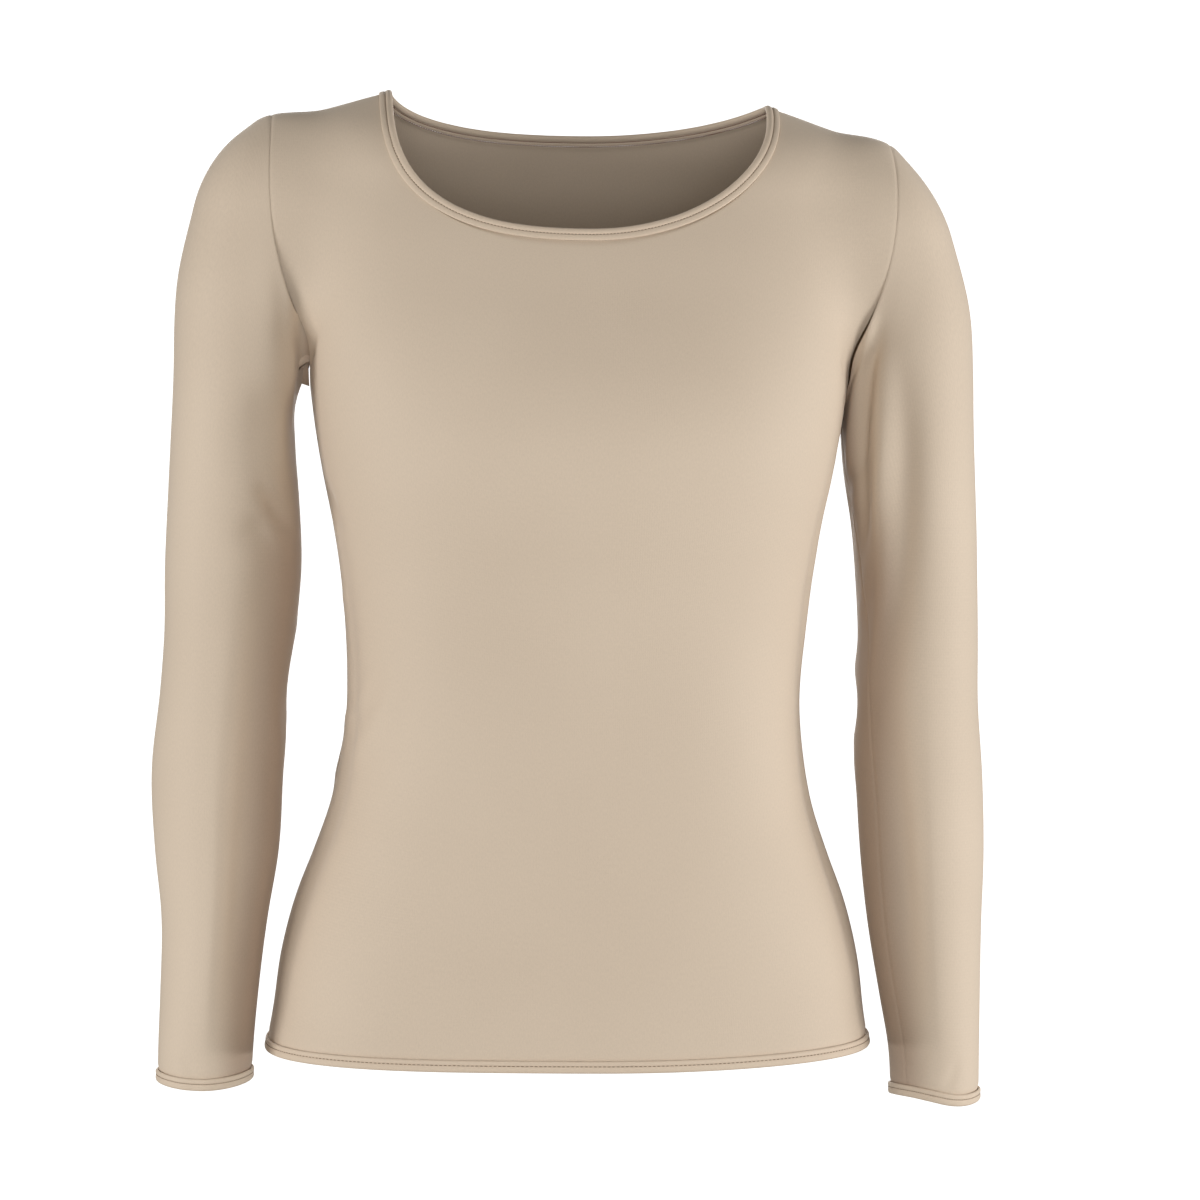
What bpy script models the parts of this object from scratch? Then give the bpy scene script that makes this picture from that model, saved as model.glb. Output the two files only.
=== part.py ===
"""Long-sleeve t-shirt, worn and hollow, held up at the shoulders.

The cloth lies on one smooth figure: a torso and two arms, each a stack of
level sections, run together at the shoulders. Every panel is a grid of points
spread between its own seams on that figure, pushed in or out by the folds,
and walled inwards along the figure's normals, so that neighbours keep the
same narrow gap all along a seam.

Frame: X to the viewer's right, Y to the back, Z up. The origin lies in the
body's middle plane, between the two side neck points.
All sizes are in millimetres; MM turns them into Blender's metres.
"""
import math

import bpy
import numpy as np

MM = 0.001

# ---------------------------------------------------------------- cloth
WALL = 1.2                # thickness of the jersey, as a solid
SEAM_GAP = 0.3            # between neighbouring pieces
BAND_GAP = 0.45           # between a panel's edge and the band that closes it

# ---------------------------------------------------------------- figure
# A section's outline is |x / half_width|^power + |y / half_depth|^power = 1,
# with its own depth in front and behind; side_y is where it is widest.
TORSO_COLUMNS = ("height", "half_width", "front_y", "back_y", "side_y", "power")
TORSO_SECTIONS = (
    (40, 10, -2, 30, 15, 2.0),
    (12, 62, -6, 32, 14, 2.0),
    (1, 116, -13, 37, 13, 2.0),
    (-11, 152, -25, 46, 12, 2.0),
    (-19, 180, -35, 54, 12, 2.0),
    (-28, 188, -44, 61, 11, 2.1),
    (-40, 188, -53, 69, 11, 2.2),
    (-60, 183, -64, 77, 10, 2.2),
    (-90, 177, -79, 86, 10, 2.35),
    (-120, 171.5, -91, 92, 10, 2.5),
    (-150, 167.5, -103, 96, 10, 2.5),
    (-180, 164.5, -113, 97, 10, 2.4),
    (-208, 160.5, -118, 96, 9, 2.3),
    (-232, 156, -117, 94, 8, 2.25),
    (-260, 149.9, -112, 90, 7, 2.2),
    (-290, 144.9, -105, 86, 6, 2.2),
    (-320, 141.7, -99, 83, 5, 2.2),
    (-350, 140, -95, 82, 5, 2.2),
    (-375, 140.1, -93, 83, 4, 2.2),
    (-400, 142.6, -93, 87, 4, 2.2),
    (-430, 148.2, -94, 94, 4, 2.2),
    (-460, 158.2, -97, 101, 4, 2.2),
    (-490, 169.5, -100, 106, 4, 2.2),
    (-525, 178.3, -103, 109, 3, 2.2),
    (-560, 182.8, -105, 110, 3, 2.25),
    (-585, 186.8, -107, 111, 3, 2.35),
    (-620, 187.8, -107, 111, 3, 2.4),
)
ARM_COLUMNS = ("height", "centre_x", "centre_y", "half_width", "half_depth", "power")
ARM_SECTIONS = {
    -1: (
        (-10, 185, 11, 36, 46, 2.1),
        (-75, 194.9, 12, 41.9, 50, 2.1),
        (-120, 202.7, 12, 43.7, 53, 2.1),
        (-150, 206, 12, 42, 53, 2.1),
        (-170, 207.5, 12, 40.5, 53, 2.1),
        (-190, 211, 14, 37.6, 52, 2.1),
        (-215, 211.4, 17, 38.3, 50, 2.1),
        (-247, 210.7, 19, 40.3, 49, 2.05),
        (-290, 210.5, 21, 42, 47, 2),
        (-330, 212.2, 17, 40.1, 46, 1.92),
        (-365, 215.3, 13, 39, 45, 1.85),
        (-414, 218.5, 6, 40.3, 43, 1.75),
        (-463, 218.2, -1, 37.8, 41, 1.7),
        (-502, 219, -7, 32.5, 38, 1.72),
        (-551, 221.8, -12, 29.8, 33, 1.78),
        (-580, 223.3, -15, 29, 30, 1.85),
        (-630, 224, -18, 28.2, 29, 1.95),
    ),
    1: (
        (-10, 177, 11, 31, 46, 2.1),
        (-75, 190.8, 12, 39.3, 50, 2.1),
        (-120, 199.9, 12, 42.1, 53, 2.1),
        (-160, 203.5, 12, 41.5, 53, 2.1),
        (-188, 204.8, 13, 41.2, 52, 2.1),
        (-228, 208.2, 18, 40.5, 50, 2.08),
        (-260, 212, 20, 38.8, 48, 2.03),
        (-290, 214.2, 21, 37.9, 47, 2),
        (-330, 215.5, 17, 37.3, 46, 1.92),
        (-365, 215.1, 13, 37.8, 45, 1.85),
        (-414, 216.4, 6, 39.4, 43, 1.75),
        (-463, 218, -1, 38.5, 41, 1.7),
        (-502, 219.2, -7, 35.6, 38, 1.72),
        (-551, 223, -12, 31, 33, 1.78),
        (-580, 225.4, -15, 28.2, 30, 1.85),
        (-630, 226.3, -18, 27.3, 29, 1.95),
    ),
}
CAP_START, CAP_HEIGHT = -75.0, 54.0    # the arm rounds off above CAP_START
# The viewer's right shoulder hangs lower: a lean that fades out down the chest.
SHOULDER_TILT = 0.024
TILT_START, TILT_END = -60.0, -260.0
# How widely torso and arm run together, by height: wide at the shoulder,
# nothing at the armpit.
MERGE_COLUMNS = ("height", "reach")
MERGE_REACH = (
    (40, 14),
    (-20, 18),
    (-60, 40),
    (-100, 44),
    (-130, 38),
    (-150, 24),
    (-165, 9),
    (-175, 4),
    (-240, 2),
)
ARMPIT_HEIGHT = {-1: -168.0, 1: -188.0}
PART_BELOW_ARMPIT = 30.0  # how fast torso and arm stop seeing each other below it

# ---------------------------------------------------------------- seams
ARMHOLE_COLUMNS = ("height", "seam_x")
ARMHOLE_LINE = (
    (40, 190),
    (-20, 190),
    (-50, 190.5),
    (-90, 186.8),
    (-110, 182),
    (-128, 176),
    (-146, 168.5),
    (-160, 165.6),
    (-174, 164.9),
    (-190, 163.4),
    (-230, 160),
)
ARMHOLE_CENTRE_HEIGHT = -100.0
SIDE_COLUMNS = ("height", "seam_y")
SIDE_SEAM = (
    (40, 12),
    (-190, 12),
    (-300, 9),
    (-450, 6),
    (-640, 4),
)
# The neck's seam falls from the shoulders to its lowest place so that
# across^across_power + down^down_power = 1, both as shares of their whole.
NECK_CENTRE_X, NECK_HALF_WIDTH = -2.0, 122.0
NECK_COLUMNS = ("lowest", "left_across_power", "left_down_power",
                "right_across_power", "right_down_power")
NECK_LINE = {
    -1: (-88.8, 2.6, 2.6, 2.0, 2.0),
    1: (-25.0, 2.7, 1.6, 2.0, 1.3),
}
HEM_HEIGHT, HEM_LEAN = -575.5, 3.0    # the viewer's right end hangs higher
CUFF_HEIGHT = {-1: -595.0, 1: -603.5}
CUFF_LEAN = {-1: -1.0, 1: -2.0}       # from the cuff's middle to its outer side
CUFF_DIP = 2.5                        # to its front and back
SLEEVE_RING_HEIGHT = -228.0           # below it the sleeve's rows are level

# ---------------------------------------------------------------- bands
# A band's outline: how far it reaches from its seam, and how far out of the
# cloth's face. The groove in the neck band is its line of stitching.
BAND_COLUMNS = ("reach", "out")
NECK_BAND_OUTLINE = (
    (0.0, -2.0), (0.0, 0.7), (1.7, 1.2), (3.3, 0.6), (5.1, 1.2),
    (6.6, 0.6), (7.0, -0.7), (6.5, -2.1), (3.4, -2.3),
)
TURNED_BAND_OUTLINE = (
    (0.0, -1.4), (0.0, 0.6), (0.9, 1.1), (3.0, 1.0), (5.2, 0.9),
    (6.0, -0.2), (5.2, -1.5),
)

# ---------------------------------------------------------------- folds
# Each fold is a soft ridge (rise above 0) or trough (below 0) along a curve
# through three places near the cloth.
FOLD_COLUMNS = ("start", "middle", "end", "width", "rise")
FOLDS = (
    # the hollow that runs up from each armpit between sleeve and chest
    ((-169, -24, -160), (-174, -38, -140), (-183, -48, -105), 16, -2.5),
    ((169, -24, -166), (174, -38, -146), (184, -48, -105), 16, -2.5),
    ((-170, 58, -146), (-174, 64, -128), (-182, 68, -100), 16, -2.0),
    ((170, 58, -146), (174, 64, -128), (182, 68, -100), 16, -2.0),
    # cloth gathered across the small of the back, reaching round the sides
    ((-140, 20, -405), (0, 84, -392), (139, 20, -418), 22, 4.0),
    ((-139, 20, -384), (0, 82, -372), (138, 20, -397), 20, -3.0),
    ((-120, 60, -352), (0, 82, -345), (122, 60, -362), 22, 3.0),
    # drag lines from the viewer's left of the waist towards the chest
    ((-137, -20, -406), (-124, -52, -378), (-114, -66, -350), 16, 1.8),
    # long folds down the sleeve on the viewer's right
    ((178, -24, -140), (175, -18, -190), (169, -8, -275), 13, -4.0),
    ((183, -30, -140), (182, -27, -240), (171, -14, -360), 14, 4.5),
    ((195, -33, -160), (198, -33, -250), (183, -28, -366), 17, -3.5),
    ((187, -26, -340), (195, -38, -450), (208, -38, -560), 18, -3.0),
    # the bend of the sleeve on the viewer's left, and the long hollow below it
    ((-180, -12, -245), (-190, -26, -262), (-203, -30, -268), 18, -2.5),
    ((-190, -28, -280), (-195, -36, -420), (-207, -38, -570), 22, -3.5),
    # folds at the back of both elbows
    ((-196, 52, -385), (-216, 54, -400), (-236, 44, -392), 20, 3.0),
    ((196, 52, -392), (216, 54, -404), (236, 44, -398), 20, 3.0),
)
FOLD_SAMPLES = 25
FOLD_SHARPNESS, FOLD_FADE = 2.4, 0.7   # of the bell across a fold, and of its ends

# ---------------------------------------------------------------- grids
SHOULDER_CELLS = 4
NECK_CELLS = 20
ARMHOLE_CELLS = 13
SIDE_CELLS = 14
SLEEVE_TOP_CELLS = 9
SLEEVE_LOW_CELLS = 17
SETTLE_ROUNDS = 24        # how often a panel's points are evened out
SLEEVE_ROUNDS = 3         # and a sleeve's rows spaced again

# ---------------------------------------------------------------- finish
BEIGE = (0.58, 0.48, 0.38, 1.0)
BAND_BEIGE = (0.52, 0.43, 0.34, 1.0)
CLOTH_ROUGHNESS = 0.7

# ---------------------------------------------------------------- search
# Seam lines are found between a place inside the figure and one outside it.
INSIDE_BODY, OUTSIDE_BODY = 60.0, 260.0
OUTSIDE_ARMHOLE = 110.0
UNDER_SHOULDER, OVER_SHOULDER = -60.0, 40.0
LINE_SAMPLES, SIDE_SAMPLES = 401, 101
BISECTIONS = 40
NEWTON_STEPS = 10
ROUGH_STEPS = 2
LONGEST_STEP = 12.0
PROBE = 0.5               # step for slopes of the figure
SAMPLES_PER_MM = 1.0
SOFTEN = 4.0              # rounding of the tables' curves, along the height


# ================================================================ tables
def column_curve(columns, rows, name, soften=SOFTEN):
    """One column of a table as a smooth function of height.

    Cubic pieces through the rows, sampled every millimetre and softened with a
    bell-shaped average.
    """
    ordered = sorted(rows)
    heights = np.array([row[0] for row in ordered], float)
    values = np.array([row[columns.index(name)] for row in ordered], float)
    slopes = np.gradient(values, heights)
    count = int((heights[-1] - heights[0]) * SAMPLES_PER_MM) + 1
    fine = np.linspace(heights[0], heights[-1], count)
    left = np.clip(np.searchsorted(heights, fine, side="right") - 1, 0, len(heights) - 2)
    span = heights[left + 1] - heights[left]
    t = (fine - heights[left]) / span
    samples = ((2 * t**3 - 3 * t**2 + 1) * values[left]
               + (t**3 - 2 * t**2 + t) * span * slopes[left]
               + (3 * t**2 - 2 * t**3) * values[left + 1]
               + (t**3 - t**2) * span * slopes[left + 1])
    half = int(3 * soften)
    bell = np.exp(-0.5 * (np.arange(-half, half + 1) / soften) ** 2)
    before = samples[0] + (samples[0] - samples[1]) * np.arange(half, 0, -1)
    after = samples[-1] + (samples[-1] - samples[-2]) * np.arange(1, half + 1)
    smooth = np.convolve(np.concatenate((before, samples, after)), bell / bell.sum(), "valid")
    return lambda height: np.interp(height, fine, smooth)


TORSO = {name: column_curve(TORSO_COLUMNS, TORSO_SECTIONS, name) for name in TORSO_COLUMNS[1:]}
ARM = {side: {name: column_curve(ARM_COLUMNS, rows, name) for name in ARM_COLUMNS[1:]}
       for side, rows in ARM_SECTIONS.items()}
MERGE = column_curve(MERGE_COLUMNS, MERGE_REACH, "reach")
ARMHOLE_X = column_curve(ARMHOLE_COLUMNS, ARMHOLE_LINE, "seam_x")
SIDE_Y = column_curve(SIDE_COLUMNS, SIDE_SEAM, "seam_y")


# ================================================================ figure
def ray_gap(dx, dy, rise, half_width, half_depth, power):
    """How far a point lies outside a section, along the ray from its centre.

    rise is the point's height in a rounded cap, as a share of the cap's own.
    """
    reach = np.sqrt(dx**2 + dy**2 + (CAP_HEIGHT * rise) ** 2) + 1e-6
    fullness = ((np.abs(dx) / half_width) ** power + (np.abs(dy) / half_depth) ** power
                + rise**power) ** (1.0 / power)
    return reach - reach / fullness


def torso_ray_gap(x, y, z):
    dy = y - TORSO["side_y"](z)
    depth = np.where(dy < 0, TORSO["side_y"](z) - TORSO["front_y"](z),
                     TORSO["back_y"](z) - TORSO["side_y"](z))
    return ray_gap(x, dy, 0.0, TORSO["half_width"](z), depth, TORSO["power"](z))


def arm_ray_gap(x, y, z):
    rise = np.clip((z - CAP_START) / CAP_HEIGHT, 0, None)
    left, right = (ray_gap(np.abs(x) - ARM[side]["centre_x"](z), y - ARM[side]["centre_y"](z),
                           rise, ARM[side]["half_width"](z), ARM[side]["half_depth"](z),
                           ARM[side]["power"](z)) for side in (-1, 1))
    return np.where(x < 0, left, right)


def level_distance(gap, x, y, z):
    """A ray's gap, shortened where the wall leans, so that it is a distance."""
    lean = (gap(x, y, z + PROBE) - gap(x, y, z - PROBE)) / (2 * PROBE)
    return gap(x, y, z) / np.hypot(1.0, lean)


def figure(points, part):
    """Distance outside the figure: below 0 is inside it.

    The smaller of the torso's and the arm's distance, rounded over MERGE's
    reach where they meet. Below the armpit the part alone counts.
    """
    x, y, z = points[..., 0], points[..., 1], points[..., 2]
    fall = np.clip((z - TILT_END) / (TILT_START - TILT_END), 0, 1)
    z = z + SHOULDER_TILT * x * fall**2 * (3 - 2 * fall)
    torso = level_distance(torso_ray_gap, x, y, z)
    arm = level_distance(arm_ray_gap, x, y, z)
    armpit = np.where(x < 0, ARMPIT_HEIGHT[-1], ARMPIT_HEIGHT[1])
    apart = PART_BELOW_ARMPIT * np.clip(armpit - z, 0, None)
    if part == "torso":
        arm = arm + apart
    else:
        torso = torso + apart
    reach = MERGE(z)
    overlap = np.clip(reach - np.abs(torso - arm), 0, None)
    return np.minimum(torso, arm) - overlap**2 / (4 * reach)


def slope(points, part):
    """Gradient of the figure's distance, by central differences."""
    steps = np.eye(3) * PROBE
    return np.stack([(figure(points + step, part) - figure(points - step, part)) / (2 * PROBE)
                     for step in steps], axis=-1)


def settle(points, part, steps=NEWTON_STEPS):
    """Points moved onto the figure, each along its own slope."""
    for _ in range(steps):
        lean = slope(points, part)
        steep = np.linalg.norm(lean, axis=-1, keepdims=True) + 1e-9
        step = np.clip(figure(points, part)[..., None] / steep, -LONGEST_STEP, LONGEST_STEP)
        points = points - step * lean / steep
    return points


def outward(points, part):
    """Unit normals of the figure, pointing out."""
    lean = slope(points, part)
    return lean / np.linalg.norm(lean, axis=-1, keepdims=True)


def reach_out(place, near, far, part):
    """Where a line from inside the figure leaves it, by halving.

    place(distance) gives the points at a distance along their lines.
    """
    near, far = near.astype(float), far.astype(float)
    for _ in range(BISECTIONS):
        middle = (near + far) / 2
        inside = figure(place(middle), part) < 0
        near = np.where(inside, middle, near)
        far = np.where(inside, far, middle)
    return place((near + far) / 2)


# ================================================================ seam lines
def spread(curve, cells):
    """A polyline resampled to equal lengths along itself."""
    lengths = np.concatenate(([0], np.cumsum(np.linalg.norm(np.diff(curve, axis=0), axis=1))))
    wanted = np.linspace(0, lengths[-1], cells + 1)
    return np.stack([np.interp(wanted, lengths, curve[:, axis]) for axis in range(3)], axis=1)


def armhole(side, facing):
    """Half an armhole, from the shoulder's tip to the underarm.

    Rays fan out from the armhole's centre in the seam's own curved plane.
    facing is -1 for the front half and 1 for the back half.
    """
    turn = np.linspace(0, math.pi, LINE_SAMPLES)
    start_y = SIDE_Y(ARMHOLE_CENTRE_HEIGHT)

    def place(distance):
        z = ARMHOLE_CENTRE_HEIGHT + distance * np.cos(turn)
        y = start_y + facing * distance * np.sin(turn)
        return np.stack((side * ARMHOLE_X(z), y, z), axis=1)

    loop = reach_out(place, np.zeros_like(turn), np.full_like(turn, OUTSIDE_ARMHOLE), "torso")
    return spread(loop, ARMHOLE_CELLS)


def panel_armhole(side, facing):
    """The armhole's half as a panel's edge: half a gap in from sleeve and seams."""
    loop = armhole(side, facing)
    loop[:, 0] -= side * SEAM_GAP / 2
    inner = facing * np.maximum(facing * (loop[:, 1] - loop[0, 1]), SEAM_GAP / 2)
    loop[:, 1] = loop[0, 1] + inner
    return loop


def shoulder(side, tip):
    """The shoulder seam, from its tip to the neck band."""
    x = np.linspace(tip[0], NECK_CENTRE_X + side * NECK_HALF_WIDTH, LINE_SAMPLES)
    y = np.full_like(x, tip[1])

    def place(height):
        return np.stack((x, y, height), axis=1)

    line = reach_out(place, np.full_like(x, UNDER_SHOULDER), np.full_like(x, OVER_SHOULDER),
                     "torso")
    return spread(line, SHOULDER_CELLS)


def side_seam(side, facing, underarm):
    """The side seam, from the hem band up to the underarm."""
    z = np.linspace(HEM_HEIGHT + side * HEM_LEAN, underarm[2], SIDE_SAMPLES)
    y = SIDE_Y(z) + facing * SEAM_GAP / 2

    def place(distance):
        return np.stack((side * distance, y, z), axis=1)

    line = reach_out(place, np.full_like(z, INSIDE_BODY), np.full_like(z, OUTSIDE_BODY), "torso")
    line[-1] = underarm
    return spread(line, SIDE_CELLS)


def hem_seam(facing, cells):
    """The lower edge of a panel, from the viewer's left to the right."""
    turn = np.linspace(math.pi, 0, LINE_SAMPLES)
    across = np.cos(turn)
    z = HEM_HEIGHT + HEM_LEAN * across**3
    start_y = SIDE_Y(z) + facing * SEAM_GAP / 2

    def place(distance):
        return np.stack((distance * across, start_y + facing * distance * np.sin(turn), z), axis=1)

    line = reach_out(place, np.full_like(turn, INSIDE_BODY), np.full_like(turn, OUTSIDE_BODY),
                     "torso")
    return spread(line, cells)


def neckline(facing, left, right, cells):
    """A panel's neck edge under the band, between its two neck points."""
    line = dict(zip(NECK_COLUMNS, NECK_LINE[facing]))
    turn = np.linspace(math.pi, 0, LINE_SAMPLES)
    on_left = np.cos(turn) < 0
    across = np.abs(np.cos(turn)) ** (2 / np.where(on_left, line["left_across_power"],
                                                   line["right_across_power"]))
    down = np.abs(np.sin(turn)) ** (2 / np.where(on_left, line["left_down_power"],
                                                 line["right_down_power"]))
    x = NECK_CENTRE_X + NECK_HALF_WIDTH * np.where(on_left, -across, across)
    shoulder_height = np.where(on_left, left[2], right[2])
    z = shoulder_height + (line["lowest"] - shoulder_height) * down

    def place(distance):
        return np.stack((x, left[1] + facing * distance, z), axis=1)

    seam = reach_out(place, np.zeros_like(x), np.full_like(x, OUTSIDE_BODY), "torso")
    return spread(seam, cells)


# ================================================================ panels
def fill_patch(bottom, top, left, right):
    """A grid between four edges: the two ruled blends less the corners' blend."""
    u = np.linspace(0, 1, len(bottom))[None, :, None]
    v = np.linspace(0, 1, len(left))[:, None, None]
    ruled_up = (1 - v) * bottom[None] + v * top[None]
    ruled_across = (1 - u) * left[:, None] + u * right[:, None]
    corners = ((1 - v) * ((1 - u) * bottom[0] + u * bottom[-1])
               + v * ((1 - u) * top[0] + u * top[-1]))
    return ruled_up + ruled_across - corners


def body_panel(facing):
    """Front (-1) or back (1) panel: rows from hem to shoulder, left to right."""
    columns = 2 * SHOULDER_CELLS + NECK_CELLS
    edges, tops = {}, {}
    for side in (-1, 1):
        hole = panel_armhole(side, facing)
        seam = side_seam(side, facing, hole[-1])
        edges[side] = np.concatenate((seam, hole[::-1][1:]))
        tops[side] = shoulder(side, hole[0])
    neck = neckline(facing, tops[-1][-1], tops[1][-1], NECK_CELLS)
    top = np.concatenate((tops[-1][:-1], neck, tops[1][::-1][1:]))
    grid = fill_patch(hem_seam(facing, columns), top, edges[-1], edges[1])
    for _ in range(SETTLE_ROUNDS):
        grid[1:-1, 1:-1] = (grid[:-2, 1:-1] + grid[2:, 1:-1]
                            + grid[1:-1, :-2] + grid[1:-1, 2:]) / 4
        limit = ARMHOLE_X(grid[1:-1, 1:-1, 2]) - SEAM_GAP
        grid[1:-1, 1:-1, 0] = np.clip(grid[1:-1, 1:-1, 0], -limit, limit)
        grid[1:-1, 1:-1] = settle(grid[1:-1, 1:-1], "torso", ROUGH_STEPS)
    grid[1:-1, 1:-1] = settle(grid[1:-1, 1:-1], "torso")
    return grid


def sleeve_ring(side, angles, height):
    """Points of the sleeve's own section, angles from its outer side."""
    z = np.broadcast_to(height, angles.shape)
    power = ARM[side]["power"](z)
    wide = np.sign(np.cos(angles)) * np.abs(np.cos(angles)) ** (2 / power)
    deep = np.sign(np.sin(angles)) * np.abs(np.sin(angles)) ** (2 / power)
    x = ARM[side]["centre_x"](z) + ARM[side]["half_width"](z) * wide
    y = ARM[side]["centre_y"](z) + ARM[side]["half_depth"](z) * deep
    return np.stack((side * x, y, z), axis=-1)


def cuff_height(side, angles):
    """The cuff's seam leans to the outer side and dips to the front and back."""
    return (CUFF_HEIGHT[side] + CUFF_LEAN[side] * np.cos(angles)
            - CUFF_DIP * np.sin(angles) ** 2)


def sleeve(side):
    """A sleeve: rows from the armhole to the cuff, columns once round it."""
    start = np.concatenate((armhole(side, -1), armhole(side, 1)[::-1][1:-1]))
    start[:, 0] += side * SEAM_GAP / 2
    angles = -np.linspace(0, 2 * math.pi, 2 * ARMHOLE_CELLS + 1)[:-1]
    ring = sleeve_ring(side, angles, SLEEVE_RING_HEIGHT)
    v = np.linspace(0, 1, SLEEVE_TOP_CELLS + 1)[:, None, None]
    top = start + (ring - start) * v
    for _ in range(SLEEVE_ROUNDS):
        top[1:-1] = settle(top[1:-1], "arm")
        top = np.stack([spread(top[:, column], SLEEVE_TOP_CELLS)
                        for column in range(len(angles))], axis=1)
    top[1:-1] = settle(top[1:-1], "arm")
    fall = np.linspace(0, 1, SLEEVE_LOW_CELLS + 1)[1:, None]
    heights = SLEEVE_RING_HEIGHT + (cuff_height(side, angles) - SLEEVE_RING_HEIGHT) * fall
    low = sleeve_ring(side, np.broadcast_to(angles, heights.shape), heights)
    return np.concatenate((top, low))


# ================================================================ folds
def fold_line(start, middle, end, part):
    """A fold's curve through its three places, moved onto the figure."""
    t = np.linspace(0, 1, FOLD_SAMPLES)[:, None]
    start, middle, end = np.array(start, float), np.array(middle, float), np.array(end, float)
    bend = 2 * middle - (start + end) / 2
    curve = (1 - t) ** 2 * start + 2 * t * (1 - t) * bend + t**2 * end
    return settle(curve, part)


def fold_rise(points, part):
    """How far the folds push each point out: bells across, fading at the ends."""
    rise = np.zeros(points.shape[:-1])
    fade = np.sin(np.linspace(0, math.pi, FOLD_SAMPLES)) ** FOLD_FADE
    for row in FOLDS:
        fold = dict(zip(FOLD_COLUMNS, row))
        line = fold_line(fold["start"], fold["middle"], fold["end"], part)
        away = np.linalg.norm(points[..., None, :] - line, axis=-1)
        bell = np.exp(-0.5 * (FOLD_SHARPNESS * away / fold["width"]) ** 2) * fade
        rise += fold["rise"] * bell.max(axis=-1)
    return rise


def faces_of_cloth(points, part):
    """A grid's outer and inner face, and the figure's normals there."""
    normals = outward(points, part)
    outer = points + normals * fold_rise(points, part)[..., None]
    return outer, outer - WALL * normals, normals


# ================================================================ meshes
def wall_triangles(rows, columns, closed):
    """Triangles of a wall whose outer grid comes first and inner grid second."""
    index = np.arange(rows * columns).reshape(rows, columns)
    if closed:
        index = np.concatenate((index, index[:, :1]), axis=1)
    a, b = index[:-1, :-1].ravel(), index[:-1, 1:].ravel()
    c, d = index[1:, 1:].ravel(), index[1:, :-1].ravel()
    outer = np.concatenate((np.stack((a, b, c), 1), np.stack((a, c, d), 1)))
    inner = outer[:, ::-1] + rows * columns
    edges = [index[0], index[-1][::-1]]
    if not closed:
        edges += [index[::-1, 0], index[:, -1]]
    rims = []
    for edge in edges:
        here, there = edge[:-1], edge[1:]
        deep = rows * columns
        rims += [np.stack((there, here, here + deep), 1),
                 np.stack((there, here + deep, there + deep), 1)]
    return np.concatenate([outer, inner] + rims)


def sweep_triangles(sections, corners):
    """Triangles of a closed outline carried once round a closed line."""
    index = np.arange(sections * corners).reshape(sections, corners)
    index = np.concatenate((index, index[:1]))
    index = np.concatenate((index, index[:, :1]), axis=1)
    a, b = index[:-1, :-1].ravel(), index[:-1, 1:].ravel()
    c, d = index[1:, 1:].ravel(), index[1:, :-1].ravel()
    return np.concatenate((np.stack((a, b, c), 1), np.stack((a, c, d), 1)))


def enclosed_volume(points, triangles):
    """Volume inside a closed surface, below 0 where it is inside out."""
    a, b, c = (points[triangles[:, corner]] for corner in range(3))
    return np.sum(a * np.cross(b, c)) / 6


def cloth_material(name, colour):
    material = bpy.data.materials.new(name)
    material.use_nodes = True
    shader = material.node_tree.nodes["Principled BSDF"]
    shader.inputs["Base Color"].default_value = colour
    shader.inputs["Roughness"].default_value = CLOTH_ROUGHNESS
    shader.inputs["Metallic"].default_value = 0.0
    return material


def add_piece(name, points, triangles, colour, collection):
    """One closed body as an object with its own material."""
    if enclosed_volume(points, triangles) < 0:
        triangles = triangles[:, ::-1]
    mesh = bpy.data.meshes.new(name)
    mesh.from_pydata((points * MM).tolist(), [], triangles.tolist())
    mesh.update()
    mesh.shade_smooth()
    mesh.materials.append(cloth_material(name + "_jersey", colour))
    piece = bpy.data.objects.new(name, mesh)
    collection.objects.link(piece)
    return piece


def add_panel(name, grid, part, closed, collection):
    """A panel's wall; gives back its outer face and normals for the bands."""
    outer, inner, normals = faces_of_cloth(grid, part)
    points = np.concatenate((outer.reshape(-1, 3), inner.reshape(-1, 3)))
    triangles = wall_triangles(grid.shape[0], grid.shape[1], closed)
    add_piece(name, points, triangles, BEIGE, collection)
    return outer, normals


def add_band(name, seam, normals, away, outline, collection):
    """A band along a closed seam line.

    At each point the outline is laid out with its reach along the cloth, away
    from the panel, and its second size along the normal.
    """
    along = np.roll(seam, -1, axis=0) - np.roll(seam, 1, axis=0)
    along /= np.linalg.norm(along, axis=1, keepdims=True)
    across = np.cross(along, normals)
    across /= np.linalg.norm(across, axis=1, keepdims=True)
    across *= np.sign(np.sum(across * away))
    reach, out = (np.array(outline)[None, :, BAND_COLUMNS.index(column)][..., None]
                  for column in ("reach", "out"))
    points = seam[:, None] + (BAND_GAP + reach) * across[:, None] + out * normals[:, None]
    triangles = sweep_triangles(len(seam), len(outline))
    add_piece(name, points.reshape(-1, 3), triangles, BAND_BEIGE, collection)


def joined_loop(front, back):
    """Front and back edge, both left to right, as one closed line round."""
    ends = (front[[0, -1]] + back[[0, -1]]) / 2
    return np.concatenate((ends[:1], front[1:-1], ends[1:], back[::-1][1:-1]))


def unit(vectors):
    return vectors / np.linalg.norm(vectors, axis=-1, keepdims=True)


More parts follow.
